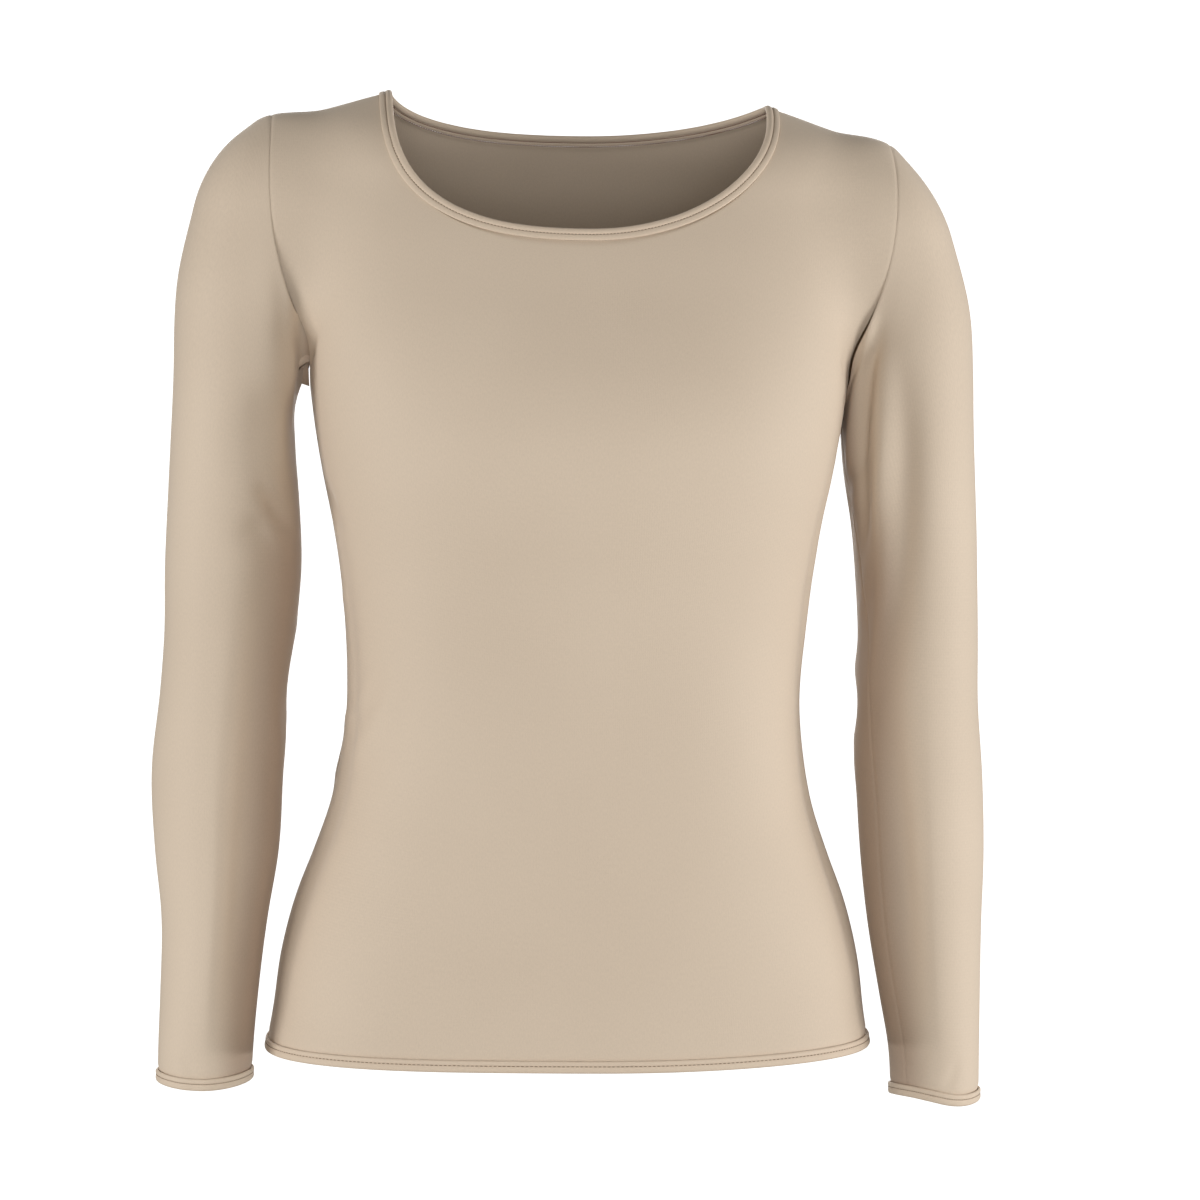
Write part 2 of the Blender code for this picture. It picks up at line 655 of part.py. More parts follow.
def build():
    for thing in list(bpy.data.objects):
        bpy.data.objects.remove(thing)
    collection = bpy.data.collections.new("long_sleeve_t_shirt")
    bpy.context.scene.collection.children.link(collection)

    front, front_normals = add_panel("front_panel", body_panel(-1), "torso", False, collection)
    back, back_normals = add_panel("back_panel", body_panel(1), "torso", False, collection)

    neck = slice(SHOULDER_CELLS, SHOULDER_CELLS + NECK_CELLS + 1)
    add_band("neck_band", joined_loop(front[-1, neck], back[-1, neck]),
             unit(joined_loop(front_normals[-1, neck], back_normals[-1, neck])),
             joined_loop(front[-1, neck] - front[-2, neck], back[-1, neck] - back[-2, neck]),
             NECK_BAND_OUTLINE, collection)
    add_band("hem_band", joined_loop(front[0], back[0]),
             unit(joined_loop(front_normals[0], back_normals[0])),
             joined_loop(front[0] - front[1], back[0] - back[1]),
             TURNED_BAND_OUTLINE, collection)

    for side, label in ((-1, "left"), (1, "right")):
        outer, normals = add_panel("sleeve_" + label, sleeve(side), "arm", True, collection)
        add_band("cuff_band_" + label, outer[-1], normals[-1], outer[-1] - outer[-2],
                 TURNED_BAND_OUTLINE, collection)


build()
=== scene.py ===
"""Looks of the long-sleeve t-shirt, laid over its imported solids.

The cloth is worked out again on the same figure as the solids, from the same
tables, but as thin shells on fine grids with the creases of the jersey, rolled
seams, bound and turned edges and every stitch. Units are millimetres in the
solids' frame: X to the viewer's right, Y to the back, Z up, the origin in the
body's middle plane between the side neck points. MM turns them into Blender's
metres.
"""
import math

import bpy
import numpy as np
from mathutils import Matrix


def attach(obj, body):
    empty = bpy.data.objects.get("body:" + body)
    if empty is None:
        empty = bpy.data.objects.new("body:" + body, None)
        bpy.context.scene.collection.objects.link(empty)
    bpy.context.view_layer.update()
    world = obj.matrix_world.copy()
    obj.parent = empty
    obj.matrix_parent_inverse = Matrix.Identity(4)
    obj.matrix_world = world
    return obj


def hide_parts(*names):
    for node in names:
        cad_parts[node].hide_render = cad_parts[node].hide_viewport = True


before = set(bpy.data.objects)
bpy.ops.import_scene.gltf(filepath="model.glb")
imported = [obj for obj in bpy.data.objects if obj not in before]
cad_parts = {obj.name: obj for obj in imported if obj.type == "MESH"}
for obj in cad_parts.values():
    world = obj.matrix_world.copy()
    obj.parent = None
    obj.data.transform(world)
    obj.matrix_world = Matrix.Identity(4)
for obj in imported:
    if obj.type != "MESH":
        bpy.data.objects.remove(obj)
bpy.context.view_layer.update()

MM = 0.001

# ---- cloth
SHELL = 0.7  # thickness of the jersey that shows
SEAM_GAP = 0.1  # between neighbouring panels at their rolled seam
SEAM_DIP, SEAM_REACH = 0.4, 1.2  # how deep and how far a seam pulls its edges in
BAND_DIP, BAND_REACH = 0.8, 2.4  # the same where a band is sewn on
BAND_GAP = 0.45  # from a panel's edge to where its band is sewn on

# ---- figure
# A section's outline is |x / half_width|^power + |y / half_depth|^power = 1,
# with its own depth in front and behind; side_y is where it is widest.
TORSO_COLUMNS = ("height", "half_width", "front_y", "back_y", "side_y", "power")
TORSO_SECTIONS = (
    (40, 10, -2, 30, 15, 2.0), (12, 62, -6, 32, 14, 2.0), (1, 116, -13, 37, 13, 2.0),
    (-11, 152, -25, 46, 12, 2.0), (-19, 180, -35, 54, 12, 2.0), (-28, 188, -44, 61, 11, 2.1),
    (-40, 188, -53, 69, 11, 2.2), (-60, 183, -64, 77, 10, 2.2), (-90, 177, -79, 86, 10, 2.35),
    (-120, 171.5, -91, 92, 10, 2.5), (-150, 167.5, -103, 96, 10, 2.5),
    (-180, 164.5, -113, 97, 10, 2.4), (-208, 160.5, -118, 96, 9, 2.3),
    (-232, 156, -117, 94, 8, 2.25), (-260, 149.9, -112, 90, 7, 2.2),
    (-290, 144.9, -105, 86, 6, 2.2), (-320, 141.7, -99, 83, 5, 2.2),
    (-350, 140, -95, 82, 5, 2.2), (-375, 140.1, -93, 83, 4, 2.2),
    (-400, 142.6, -93, 87, 4, 2.2), (-430, 148.2, -94, 94, 4, 2.2),
    (-460, 158.2, -97, 101, 4, 2.2), (-490, 169.5, -100, 106, 4, 2.2),
    (-525, 178.3, -103, 109, 3, 2.2), (-560, 182.8, -105, 110, 3, 2.25),
    (-585, 186.8, -107, 111, 3, 2.35), (-620, 187.8, -107, 111, 3, 2.4),
)
ARM_COLUMNS = ("height", "centre_x", "centre_y", "half_width", "half_depth", "power")
ARM_SECTIONS = {
    -1: (
        (-10, 185, 11, 36, 46, 2.1), (-75, 194.9, 12, 41.9, 50, 2.1),
        (-120, 202.7, 12, 43.7, 53, 2.1), (-150, 206, 12, 42, 53, 2.1),
        (-170, 207.5, 12, 40.5, 53, 2.1), (-190, 211, 14, 37.6, 52, 2.1),
        (-215, 211.4, 17, 38.3, 50, 2.1), (-247, 210.7, 19, 40.3, 49, 2.05),
        (-290, 210.5, 21, 42, 47, 2), (-330, 212.2, 17, 40.1, 46, 1.92),
        (-365, 215.3, 13, 39, 45, 1.85), (-414, 218.5, 6, 40.3, 43, 1.75),
        (-463, 218.2, -1, 37.8, 41, 1.7), (-502, 219, -7, 32.5, 38, 1.72),
        (-551, 221.8, -12, 29.8, 33, 1.78), (-580, 223.3, -15, 29, 30, 1.85),
        (-630, 224, -18, 28.2, 29, 1.95),
    ),
    1: (
        (-10, 177, 11, 31, 46, 2.1), (-75, 190.8, 12, 39.3, 50, 2.1),
        (-120, 199.9, 12, 42.1, 53, 2.1), (-160, 203.5, 12, 41.5, 53, 2.1),
        (-188, 204.8, 13, 41.2, 52, 2.1), (-228, 208.2, 18, 40.5, 50, 2.08),
        (-260, 212, 20, 38.8, 48, 2.03), (-290, 214.2, 21, 37.9, 47, 2),
        (-330, 215.5, 17, 37.3, 46, 1.92), (-365, 215.1, 13, 37.8, 45, 1.85),
        (-414, 216.4, 6, 39.4, 43, 1.75), (-463, 218, -1, 38.5, 41, 1.7),
        (-502, 219.2, -7, 35.6, 38, 1.72), (-551, 223, -12, 31, 33, 1.78),
        (-580, 225.4, -15, 28.2, 30, 1.85), (-630, 226.3, -18, 27.3, 29, 1.95),
    ),
}
CAP_START, CAP_HEIGHT = -75.0, 54.0  # the arm rounds off above CAP_START
# The viewer's right shoulder hangs lower: a lean that fades out down the chest.
SHOULDER_TILT = 0.024
TILT_START, TILT_END = -60.0, -260.0
# How widely torso and arm run together, as (height, reach): wide at the
# shoulder, nothing at the armpit.
MERGE_REACH = (
    (40, 14), (-20, 18), (-60, 40), (-100, 44), (-130, 38), (-150, 24), (-165, 9),
    (-175, 4), (-240, 2),
)
ARMPIT_HEIGHT = {-1: -168.0, 1: -188.0}
PART_BELOW_ARMPIT = 30.0  # how fast torso and arm stop seeing each other below it

# ---- seams
# The armholes' seam as (height, distance from the middle).
ARMHOLE_LINE = (
    (40, 190), (-20, 190), (-50, 190.5), (-90, 186.8), (-110, 182), (-128, 176),
    (-146, 168.5), (-160, 165.6), (-174, 164.9), (-190, 163.4), (-230, 160),
)
ARMHOLE_CENTRE_HEIGHT = -100.0
# The side seams as (height, y).
SIDE_SEAM = ((40, 12), (-190, 12), (-300, 9), (-450, 6), (-640, 4))
# The neck's seam falls from the shoulders to its lowest place so that
# across^across_power + down^down_power = 1, both as shares of their whole. A
# row has the lowest height, then both powers on the left and on the right.
NECK_CENTRE_X, NECK_HALF_WIDTH = -2.0, 122.0
NECK_LINE = {
    -1: (-88.8, 2.6, 2.6, 2.0, 2.0),
    1: (-25.0, 2.7, 1.6, 2.0, 1.3),
}
HEM_HEIGHT, HEM_LEAN = -575.5, 3.0  # the viewer's right end hangs higher
CUFF_HEIGHT = {-1: -595.0, 1: -603.5}
CUFF_LEAN = {-1: -1.0, 1: -2.0}  # from the cuff's middle to its outer side
CUFF_DIP = 2.5  # to its front and back
SLEEVE_RING_HEIGHT = -228.0  # below it the sleeve's rows are level

# ---- folds
# Each fold is a soft ridge (rise above 0) or trough (below 0) along a curve
# through three places near the cloth: start, middle, end, width, rise.
FOLDS = (
    # the hollow that runs up from each armpit between sleeve and chest
    ((-169, -24, -160), (-174, -38, -140), (-183, -48, -105), 16, -2.5),
    ((169, -24, -166), (174, -38, -146), (184, -48, -105), 16, -2.5),
    ((-170, 58, -146), (-174, 64, -128), (-182, 68, -100), 16, -2.0),
    ((170, 58, -146), (174, 64, -128), (182, 68, -100), 16, -2.0),
    # cloth gathered across the small of the back, reaching round the sides
    ((-140, 20, -405), (0, 84, -392), (139, 20, -418), 22, 4.0),
    ((-139, 20, -384), (0, 82, -372), (138, 20, -397), 20, -3.0),
    ((-120, 60, -352), (0, 82, -345), (122, 60, -362), 22, 3.0),
    # drag lines from the viewer's left of the waist towards the chest
    ((-137, -20, -406), (-124, -52, -378), (-114, -66, -350), 16, 1.8),
    # long folds down the sleeve on the viewer's right
    ((178, -24, -140), (175, -18, -190), (169, -8, -275), 13, -4.0),
    ((183, -30, -140), (182, -27, -240), (171, -14, -360), 14, 4.5),
    ((195, -33, -160), (198, -33, -250), (183, -28, -366), 17, -3.5),
    ((187, -26, -340), (195, -38, -450), (208, -38, -560), 18, -3.0),
    # the bend of the sleeve on the viewer's left, and the long hollow below it
    ((-180, -12, -245), (-190, -26, -262), (-203, -30, -268), 18, -2.5),
    ((-190, -28, -280), (-195, -36, -420), (-207, -38, -570), 22, -3.5),
    # folds at the back of both elbows
    ((-196, 52, -385), (-216, 54, -400), (-236, 44, -392), 20, 3.0),
    ((196, 52, -392), (216, 54, -404), (236, 44, -398), 20, 3.0),
)
FOLD_SHARPNESS, FOLD_FADE = 2.4, 0.7  # of the bell across a fold, and of its ends

# ---- creases
# Finer creases than the solids' folds. Each runs through three places (x, z)
# on the piece's front (-1) or back (1) half, then has its width and rise.
# Neighbours differ in length, depth and spacing.
CREASES = {
    # two ridges and troughs under the arm, long hollows below
    ("sleeve_right", -1): (
        ((178, -112), (173, -170), (171, -240), 18, 3.0),
        ((175, -126), (170, -174), (168, -226), 8, 4.6),
        ((179, -134), (176, -180), (172, -232), 8, -3.4),
        ((172, -212), (168, -265), (169, -330), 9, -1.8),
        ((186, -146), (185, -225), (178, -316), 11, 2.2),
        ((196, -190), (199, -255), (190, -340), 12, -0.9),
        ((188, -370), (197, -460), (209, -575), 20, -2.4),
        ((201, -390), (206, -480), (213, -585), 26, -2.6),
        ((226, -602), (232, -595), (236, -586), 6, -1.0),
        ((208, -602), (212, -592), (217, -578), 6, -1.0),
    ),
    # the bend above the elbow, the armpit's fill, long hollows
    ("sleeve_left", -1): (
        ((-194, -240), (-187, -247), (-174, -268), 9, -2.6),
        ((-198, -252), (-189, -260), (-178, -284), 8, 1.2),
        ((-187, -92), (-185, -165), (-184, -262), 22, 4.4),
        ((-177, -106), (-177, -150), (-176, -204), 9, 2.2),
        ((-172, -112), (-169, -142), (-167, -170), 6, -3.6),
        ((-188, -250), (-194, -420), (-206, -575), 22, -2.6),
        ((-200, -420), (-204, -500), (-211, -592), 26, -2.4),
        ((-228, -600), (-232, -592), (-236, -582), 6, -0.8),
    ),
    ("sleeve_right", 1): (
        ((180, -150), (186, -190), (184, -250), 10, -2.4),
        ((194, -160), (198, -215), (192, -280), 12, 1.8),
        ((190, -372), (208, -384), (236, -376), 12, 2.0),
        ((188, -388), (210, -402), (242, -392), 11, -2.2),
        ((196, -416), (216, -428), (240, -420), 12, 1.6),
    ),
    ("sleeve_left", 1): (
        ((-180, -150), (-186, -192), (-184, -246), 10, -2.2),
        ((-194, -164), (-199, -210), (-193, -270), 12, 1.8),
        ((-190, -366), (-210, -378), (-240, -372), 12, 2.0),
        ((-190, -384), (-214, -396), (-244, -388), 11, -2.2),
        ((-196, -410), (-216, -420), (-240, -414), 12, 1.4),
    ),
    # drag lines from the waist, and the pinch at each armpit
    ("front_panel", -1): (
        ((-152, -402), (-138, -375), (-122, -350), 7, 0.9),
        ((-146, -384), (-140, -374), (-134, -364), 6, -0.6),
        ((-146, -316), (-142, -304), (-138, -294), 6, 0.5),
        ((156, -154), (158, -160), (160, -168), 5, -1.6),
        ((160, -172), (163, -190), (163, -212), 6, 1.0),
        ((-160, -140), (-163, -152), (-164, -164), 5, -1.2),
    ),
    # gathers at the waist, pulls across the shoulder blades
    ("back_panel", 1): (
        ((-128, -366), (-30, -352), (96, -362), 13, -1.8),
        ((-118, -408), (10, -416), (128, -406), 14, -2.0),
        ((-60, -432), (30, -438), (120, -426), 13, 1.4),
        ((-100, -334), (10, -326), (110, -336), 15, 1.4),
        ((-160, -150), (-110, -132), (-50, -134), 14, -1.2),
        ((160, -156), (106, -136), (52, -138), 14, -1.2),
        ((-150, -176), (-100, -160), (-40, -160), 16, 1.0),
        ((152, -180), (100, -164), (44, -164), 16, 1.0),
    ),
}
CREASE_SAMPLES = 60

# ---- grids
# A panel's grid is first laid out on a few cells, evened out, then refined.
SHOULDER_CELLS, NECK_CELLS = 4, 20
ARMHOLE_CELLS, SIDE_CELLS = 13, 14
PANEL_COLUMNS, PANEL_ROWS = 2 * SHOULDER_CELLS + NECK_CELLS, SIDE_CELLS + ARMHOLE_CELLS
SLEEVE_TOP_CELLS, SLEEVE_LOW_CELLS = 9, 17
SETTLE_ROUNDS = 24
FINE = 6  # fine cells in one of the first layout's cells
# Cells beside a seam, as shares of a layout cell, close up towards the edge.
EDGE_SHARES = (0.0, 0.025, 0.06, 0.11, 0.18, 0.28, 0.4, 0.55, 0.7, 0.85)
# How far a sleeve's seam is turned to the front, as (height, radians).
SEAM_TURN = {
    1: ((-100, 0.0), (-200, 0.05), (-242, 0.12), (-300, 0.37), (-330, 0.48), (-368, 0.5),
        (-432, 0.61), (-537, 0.6), (-600, 0.7), (-640, 0.7)),
    -1: ((-100, 0.0), (-300, -0.1), (-640, -0.2)),
}

# ---- bands
# A band's outline as (reach from its seam, height over the cloth's face). The
# groove between its two swells is its line of stitching.
NECK_OUTLINE = (
    (0.2, -1.5), (0.1, -0.3), (-0.5, -0.1), (-1.0, 0.35), (-0.8, 1.0), (0.2, 1.35), (1.6, 1.4),
    (2.3, 1.2), (2.8, 0.75), (3.3, 1.2), (4.4, 1.5), (5.9, 1.25), (6.8, 0.5), (7.1, -0.5),
    (6.6, -1.5), (5.3, -1.9), (4.2, -1.8), (3.1, -1.35), (2.0, -1.8),
)
TURNED_OUTLINE = (
    (0.2, -0.8), (0.15, -0.3), (-0.7, -0.1), (-1.3, 0.3), (-1.0, 0.95), (-0.1, 1.25),
    (0.9, 1.2), (1.4, 1.05), (1.8, 0.7), (2.2, 1.05), (3.6, 1.25), (5.1, 1.0), (5.9, 0.2),
    (5.5, -0.7), (4.6, -0.95), (2.4, -0.9),
)
OUTLINE_FINE = 4  # points worked out between two given ones
BAND_STEP = 1.3  # between a band's sections
BAND_SMOOTHING = 6  # rounds that even out a band's sideways direction
BAND_WAVES = ((0.05, 17, 0.0), (0.04, 41, 1.3))  # unevenness: share, waves round, start
NECK_INWARDS, HEM_INWARDS = 3, 4  # rows from an edge that show which way it faces

# ---- stitches
# Each kind of stitch: pitch, length, radius.
HEM_STITCH, CUFF_STITCH = (2.7, 1.9, 0.22), (1.55, 1.05, 0.2)
NECK_STITCH, INNER_STITCH = (2.1, 1.4, 0.2), (1.7, 1.3, 0.3)
# Where each row runs: reach from the seam, height over the cloth's face.
TURNED_ROW, NECK_ROW = (1.8, 0.9), (2.8, 0.9)
INNER_UPPER_ROW, INNER_LOWER_ROW = (3.1, -1.85), (0.2, -1.85)
STITCH_SIDES, STITCH_RINGS = 6, 5
STITCH_TAPER, STITCH_SINK = 0.9, 0.6  # how far its swell's cosine goes; sunk by this share

# ---- search
# Between which distances lines are searched for where they leave the figure.
INSIDE_BODY, OUTSIDE_BODY = 60.0, 260.0
OUTSIDE_ARMHOLE = 110.0
UNDER_SHOULDER, OVER_SHOULDER = -60.0, 40.0
LINE_SAMPLES, SIDE_SAMPLES = 401, 101
BISECTIONS = 40
LEAST_REACH, LEAST_SLOPE = 1e-6, 1e-9  # keep divisions finite
NEWTON_STEPS, ROUGH_STEPS, FINE_STEPS = 10, 2, 3
SLEEVE_ROUNDS = 3
EDGE_PULL = 1.5  # layout cells over which an exact edge pulls the grid
LONGEST_STEP = 12.0
PROBE = 0.5  # step for slopes of the figure
SOFTEN = 4.0  # rounding of the tables' curves, along the height

# ---- finish
JERSEY_LIGHT, JERSEY_DARK = (0.66, 0.547, 0.43), (0.622, 0.512, 0.4)
# Painted light: the bands are the body's jersey made a little lighter to brighten them.
LIFTED_BAND_LIGHT, LIFTED_BAND_DARK = (0.68, 0.56, 0.437), (0.64, 0.52, 0.405)
# Painted shade: the outer rows' thread, really the cloth's own colour, is much darker so that it
# stands in for the shadowed pits of the stitching; the inner rows' red-brown thread is darkened
# further for the shade in its groove.
THREAD_AS_PIT_SHADE, RED_THREAD_AND_SHADE = (0.24, 0.165, 0.11), (0.16, 0.055, 0.035)
JERSEY_SHADER = {
    "Metallic": 0.0, "Specular IOR Level": 0.25, "Sheen Weight": 0.3, "Sheen Roughness": 0.45,
    "Sheen Tint": (1.0, 0.93, 0.86, 1.0),
}
CLOUDS, CLOUD_ENDS = {"Scale": 7.0, "Detail": 2.0}, (0.3, 0.7)
FIBRES, FIBRE_STRETCH = {"Scale": 1100.0, "Detail": 3.0}, {"Scale": (1.0, 0.45, 1.0)}
FLECKS = {"From Min": 0.3, "From Max": 0.7, "To Min": 0.965, "To Max": 1.03}
ROUGHNESS = {"To Min": 0.58, "To Max": 0.74}
# The knit's lines; their scale is bands per metre of cloth, over 2 pi.
WALES = {"Scale": 220.0, "Distortion": 0.6, "Detail": 1.0, "Detail Scale": 1.5}
COURSES = {"Scale": 180.0, "Distortion": 0.6}
JERSEY_BUMP = {"Strength": 0.25, "Distance": 0.00012}
THREAD_SHADER = {"Roughness": 0.8, "Specular IOR Level": 0.2}
TWIST, TWIST_TONES = {"Scale": 2500.0}, (0.8, 1.15)
THREAD_BUMP = {"Strength": 0.4, "Distance": 0.0001}
MIX_FACTOR, MIX_FIRST, MIX_SECOND, MIX_RESULT = 0, 6, 7, 2  # a Mix node's colour sockets
# Painted shade: the jersey is darkened and browned on the sleeves' inner sides,
# where they face the body, from under the armpit down.
PAINTED_SHADE_TINT = (0.73, 0.67, 0.65)
# Heights where that begins and is whole, then the same as shares of the way from
# mid-sleeve inwards; the second row is the strip beside the armpit.
PAINTED_SHADE_ZONES = ((-215.0, -300.0, 0.15, 0.8), (-118.0, -160.0, 0.8, 1.0))
SHARP_ANGLE = math.radians(55)

# ---- studio
CAMERA_TURN = -4.2  # degrees towards the viewer's left
CAMERA_DISTANCE, CAMERA_HEIGHT = 2400.0, -180.0
CAMERA_AIM = (15.0, -306.5)  # x and z of the frame's middle
CAMERA_ROLL = 0.9  # degrees
FRAME_WIDTH = 738.0  # what the frame takes in at the garment
SENSOR_WIDTH, FARTHEST_SEEN = 36.0, 100.0  # millimetres, metres
FLOOR_HEIGHT = -1.36  # metres below the shoulders, as under a standing wearer
FLOOR_MIDDLE = 0.05  # metres: radius of the floor's first ring
SWEEP_START, SWEEP_BEND = 4.5, 3.5  # metres: flat radius, and that of the bend
FLOOR_SIDES, BEND_RINGS = 96, 25
FLOOR_SHADER = {
    "Base Color": (0.9, 0.9, 0.9, 1.0), "Roughness": 0.9,
    "Emission Color": (1.0, 1.0, 1.0, 1.0), "Emission Strength": 1.0,
}
AIR_LIGHT, AIR_COLOUR = 0.23, (1.0, 0.96, 0.88, 1.0)
LIGHT_TARGET = (0.0, 0.0, -0.3)
LIGHTS = (  # name, place, size, power
    ("front_softbox", (0.0, -3.0, -0.5), 1.6, 31.0),
    ("left_softbox", (-2.7, -1.1, -0.4), 1.2, 45.0),
    ("right_softbox", (2.7, -1.1, -0.4), 1.2, 38.0),
    ("right_side_softbox", (2.9, -0.2, -0.4), 1.2, 24.0),
    ("back_softbox", (0.0, 2.6, 0.2), 1.8, 42.0),
)


# ======== tables
def cubic(t, here, there, leave, arrive):
    """A cubic between two values with the slopes it leaves and arrives with."""
    return ((2 * t**3 - 3 * t**2 + 1) * here + (t**3 - 2 * t**2 + t) * leave
            + (3 * t**2 - 2 * t**3) * there + (t**3 - t**2) * arrive)


def xyz(x, y, z):
    """Points from their coordinates, a single number standing for all of them."""
    return np.stack(np.broadcast_arrays(x, y, z), axis=-1)


def smooth_step(low, high, value):
    """0 below low, 1 above high, and a cubic between them."""
    t = np.clip((value - low) / (high - low), 0, 1)
    return t * t * (3 - 2 * t)


def column_curve(rows, column=1):
    """One column of a table as a smooth function of its first, the height: cubic
    pieces, sampled every millimetre and softened with a bell-shaped average."""
    table = np.array(sorted(rows), float)
    heights, values = table[:, 0], table[:, column]
    slopes = np.gradient(values, heights)
    fine = np.linspace(heights[0], heights[-1], int(heights[-1] - heights[0]) + 1)
    left = np.clip(np.searchsorted(heights, fine, side="right") - 1, 0, len(heights) - 2)
    span = heights[left + 1] - heights[left]
    samples = cubic((fine - heights[left]) / span, values[left], values[left + 1],
                    span * slopes[left], span * slopes[left + 1])
    half = int(3 * SOFTEN)
    bell = np.exp(-0.5 * (np.arange(-half, half + 1) / SOFTEN) ** 2)
    before = samples[0] + (samples[0] - samples[1]) * np.arange(half, 0, -1)
    after = samples[-1] + (samples[-1] - samples[-2]) * np.arange(1, half + 1)
    smooth = np.convolve(np.concatenate((before, samples, after)), bell / bell.sum(), "valid")
    return lambda height: np.interp(height, fine, smooth)


def named_curves(columns, rows):
    """A curve for each of a table's columns after the height."""
    return {name: column_curve(rows, place) for place, name in enumerate(columns) if place}


def section(curves, height):
    return {name: curve(height) for name, curve in curves.items()}


TORSO = named_curves(TORSO_COLUMNS, TORSO_SECTIONS)
ARM = {side: named_curves(ARM_COLUMNS, rows) for side, rows in ARM_SECTIONS.items()}
MERGE = column_curve(MERGE_REACH)
ARMHOLE_X = column_curve(ARMHOLE_LINE)
SIDE_Y = column_curve(SIDE_SEAM)


# ======== figure
def ray_gap(dx, dy, rise, half_width, half_depth, power):
    """How far a point lies outside a section, along the ray from its centre. rise
    is its height in a rounded cap, as a share of the cap's own."""
    reach = np.sqrt(dx**2 + dy**2 + (CAP_HEIGHT * rise) ** 2) + LEAST_REACH
    fullness = ((np.abs(dx) / half_width) ** power + (np.abs(dy) / half_depth) ** power
                + rise**power) ** (1.0 / power)
    return reach - reach / fullness


def torso_ray_gap(x, y, z):
    here = section(TORSO, z)
    dy = y - here["side_y"]
    depth = np.where(dy < 0, here["side_y"] - here["front_y"], here["back_y"] - here["side_y"])
    return ray_gap(x, dy, 0.0, here["half_width"], depth, here["power"])


def arm_ray_gap(x, y, z):
    rise = np.clip((z - CAP_START) / CAP_HEIGHT, 0, None)
    left, right = (ray_gap(np.abs(x) - here["centre_x"], y - here["centre_y"], rise,
                           here["half_width"], here["half_depth"], here["power"])
                   for here in (section(ARM[-1], z), section(ARM[1], z)))
    return np.where(x < 0, left, right)


def level_distance(gap, x, y, z):
    """A ray's gap, shortened where the wall leans, so that it is a distance."""
    lean = (gap(x, y, z + PROBE) - gap(x, y, z - PROBE)) / (2 * PROBE)
    return gap(x, y, z) / np.hypot(1.0, lean)


def figure(points, part):
    """Distance outside the figure, below 0 inside it: the torso's or the arm's,
    rounded over MERGE's reach where they meet. Below the armpit part alone counts.
    """
    x, y, z = np.moveaxis(points, -1, 0)
    z = z + SHOULDER_TILT * x * smooth_step(TILT_END, TILT_START, z)
    torso = level_distance(torso_ray_gap, x, y, z)
    arm = level_distance(arm_ray_gap, x, y, z)
    armpit = np.where(x < 0, ARMPIT_HEIGHT[-1], ARMPIT_HEIGHT[1])
    apart = PART_BELOW_ARMPIT * np.clip(armpit - z, 0, None)
    if part == "torso":
        arm = arm + apart
    else:
        torso = torso + apart
    reach = MERGE(z)
    overlap = np.clip(reach - np.abs(torso - arm), 0, None)
    return np.minimum(torso, arm) - overlap**2 / (4 * reach)


def slope(points, part):
    """Gradient of the figure's distance, by central differences."""
    steps = np.eye(3) * PROBE
    return np.stack([(figure(points + step, part) - figure(points - step, part)) / (2 * PROBE)
                     for step in steps], axis=-1)


def settle(points, part, steps=NEWTON_STEPS):
    """Points moved onto the figure, each along its own slope."""
    for _ in range(steps):
        lean = slope(points, part)
        steep = np.linalg.norm(lean, axis=-1, keepdims=True) + LEAST_SLOPE
        step = np.clip(figure(points, part)[..., None] / steep, -LONGEST_STEP, LONGEST_STEP)
        points = points - step * lean / steep
    return points


def outward(points, part):
    """Unit normals of the figure, pointing out."""
    lean = slope(points, part)
    return lean / np.linalg.norm(lean, axis=-1, keepdims=True)


def reach_out(place, near, far, like, part="torso"):
    """Where lines from inside the figure leave it, by halving: place(distances)
    gives points along the lines, one for each value in like."""
    near, far = np.full_like(like, near), np.full_like(like, far)
    for _ in range(BISECTIONS):
        middle = (near + far) / 2
        inside = figure(place(middle), part) < 0
        near = np.where(inside, middle, near)
        far = np.where(inside, far, middle)
    return place((near + far) / 2)


# ======== seam lines
def marks(cells):
    """Marks over so many layout cells: FINE steps to each, EDGE_SHARES at the ends."""
    inner = np.arange(FINE, (cells - 1) * FINE + 1) / FINE
    shares = np.array(EDGE_SHARES)
    return np.concatenate((shares, inner, cells - shares[::-1]))


def lengths_along(points, axis=0):
    """Length up to each point of a line, or of a grid's columns (0) or rows (1)."""
    steps = np.cumsum(np.linalg.norm(np.diff(points, axis=axis), axis=-1), axis=axis)
    return np.concatenate((np.zeros_like(steps.take([0], axis)), steps), axis=axis)


def at_lengths(wanted, lengths, values):
    """A line's points or vectors, interpolated at these lengths."""
    return np.stack([np.interp(wanted, lengths, values[:, axis]) for axis in range(3)], axis=-1)


def spread(curve, wanted):
    """Points of a line at these shares of its length."""
    lengths = lengths_along(curve)
    return at_lengths(wanted * lengths[-1], lengths, curve)


def armhole(side, facing, wanted):
    """The front (-1) or back (1) half of an armhole, from shoulder to underarm, by
    rays from its centre in the seam's own curved plane."""
    turn = np.linspace(0, math.pi, LINE_SAMPLES)
    start_y = SIDE_Y(ARMHOLE_CENTRE_HEIGHT)

    def place(distance):
        z = ARMHOLE_CENTRE_HEIGHT + distance * np.cos(turn)
        y = start_y + facing * distance * np.sin(turn)
        return xyz(side * ARMHOLE_X(z), y, z)

    return spread(reach_out(place, 0.0, OUTSIDE_ARMHOLE, turn), wanted)


def panel_armhole(side, facing, wanted):
    """The armhole's half as a panel's edge: half a gap in from sleeve and seams."""
    loop = armhole(side, facing, wanted)
    loop[:, 0] -= side * SEAM_GAP / 2
    inner = facing * np.maximum(facing * (loop[:, 1] - loop[0, 1]), SEAM_GAP / 2)
    loop[:, 1] = loop[0, 1] + inner
    return loop


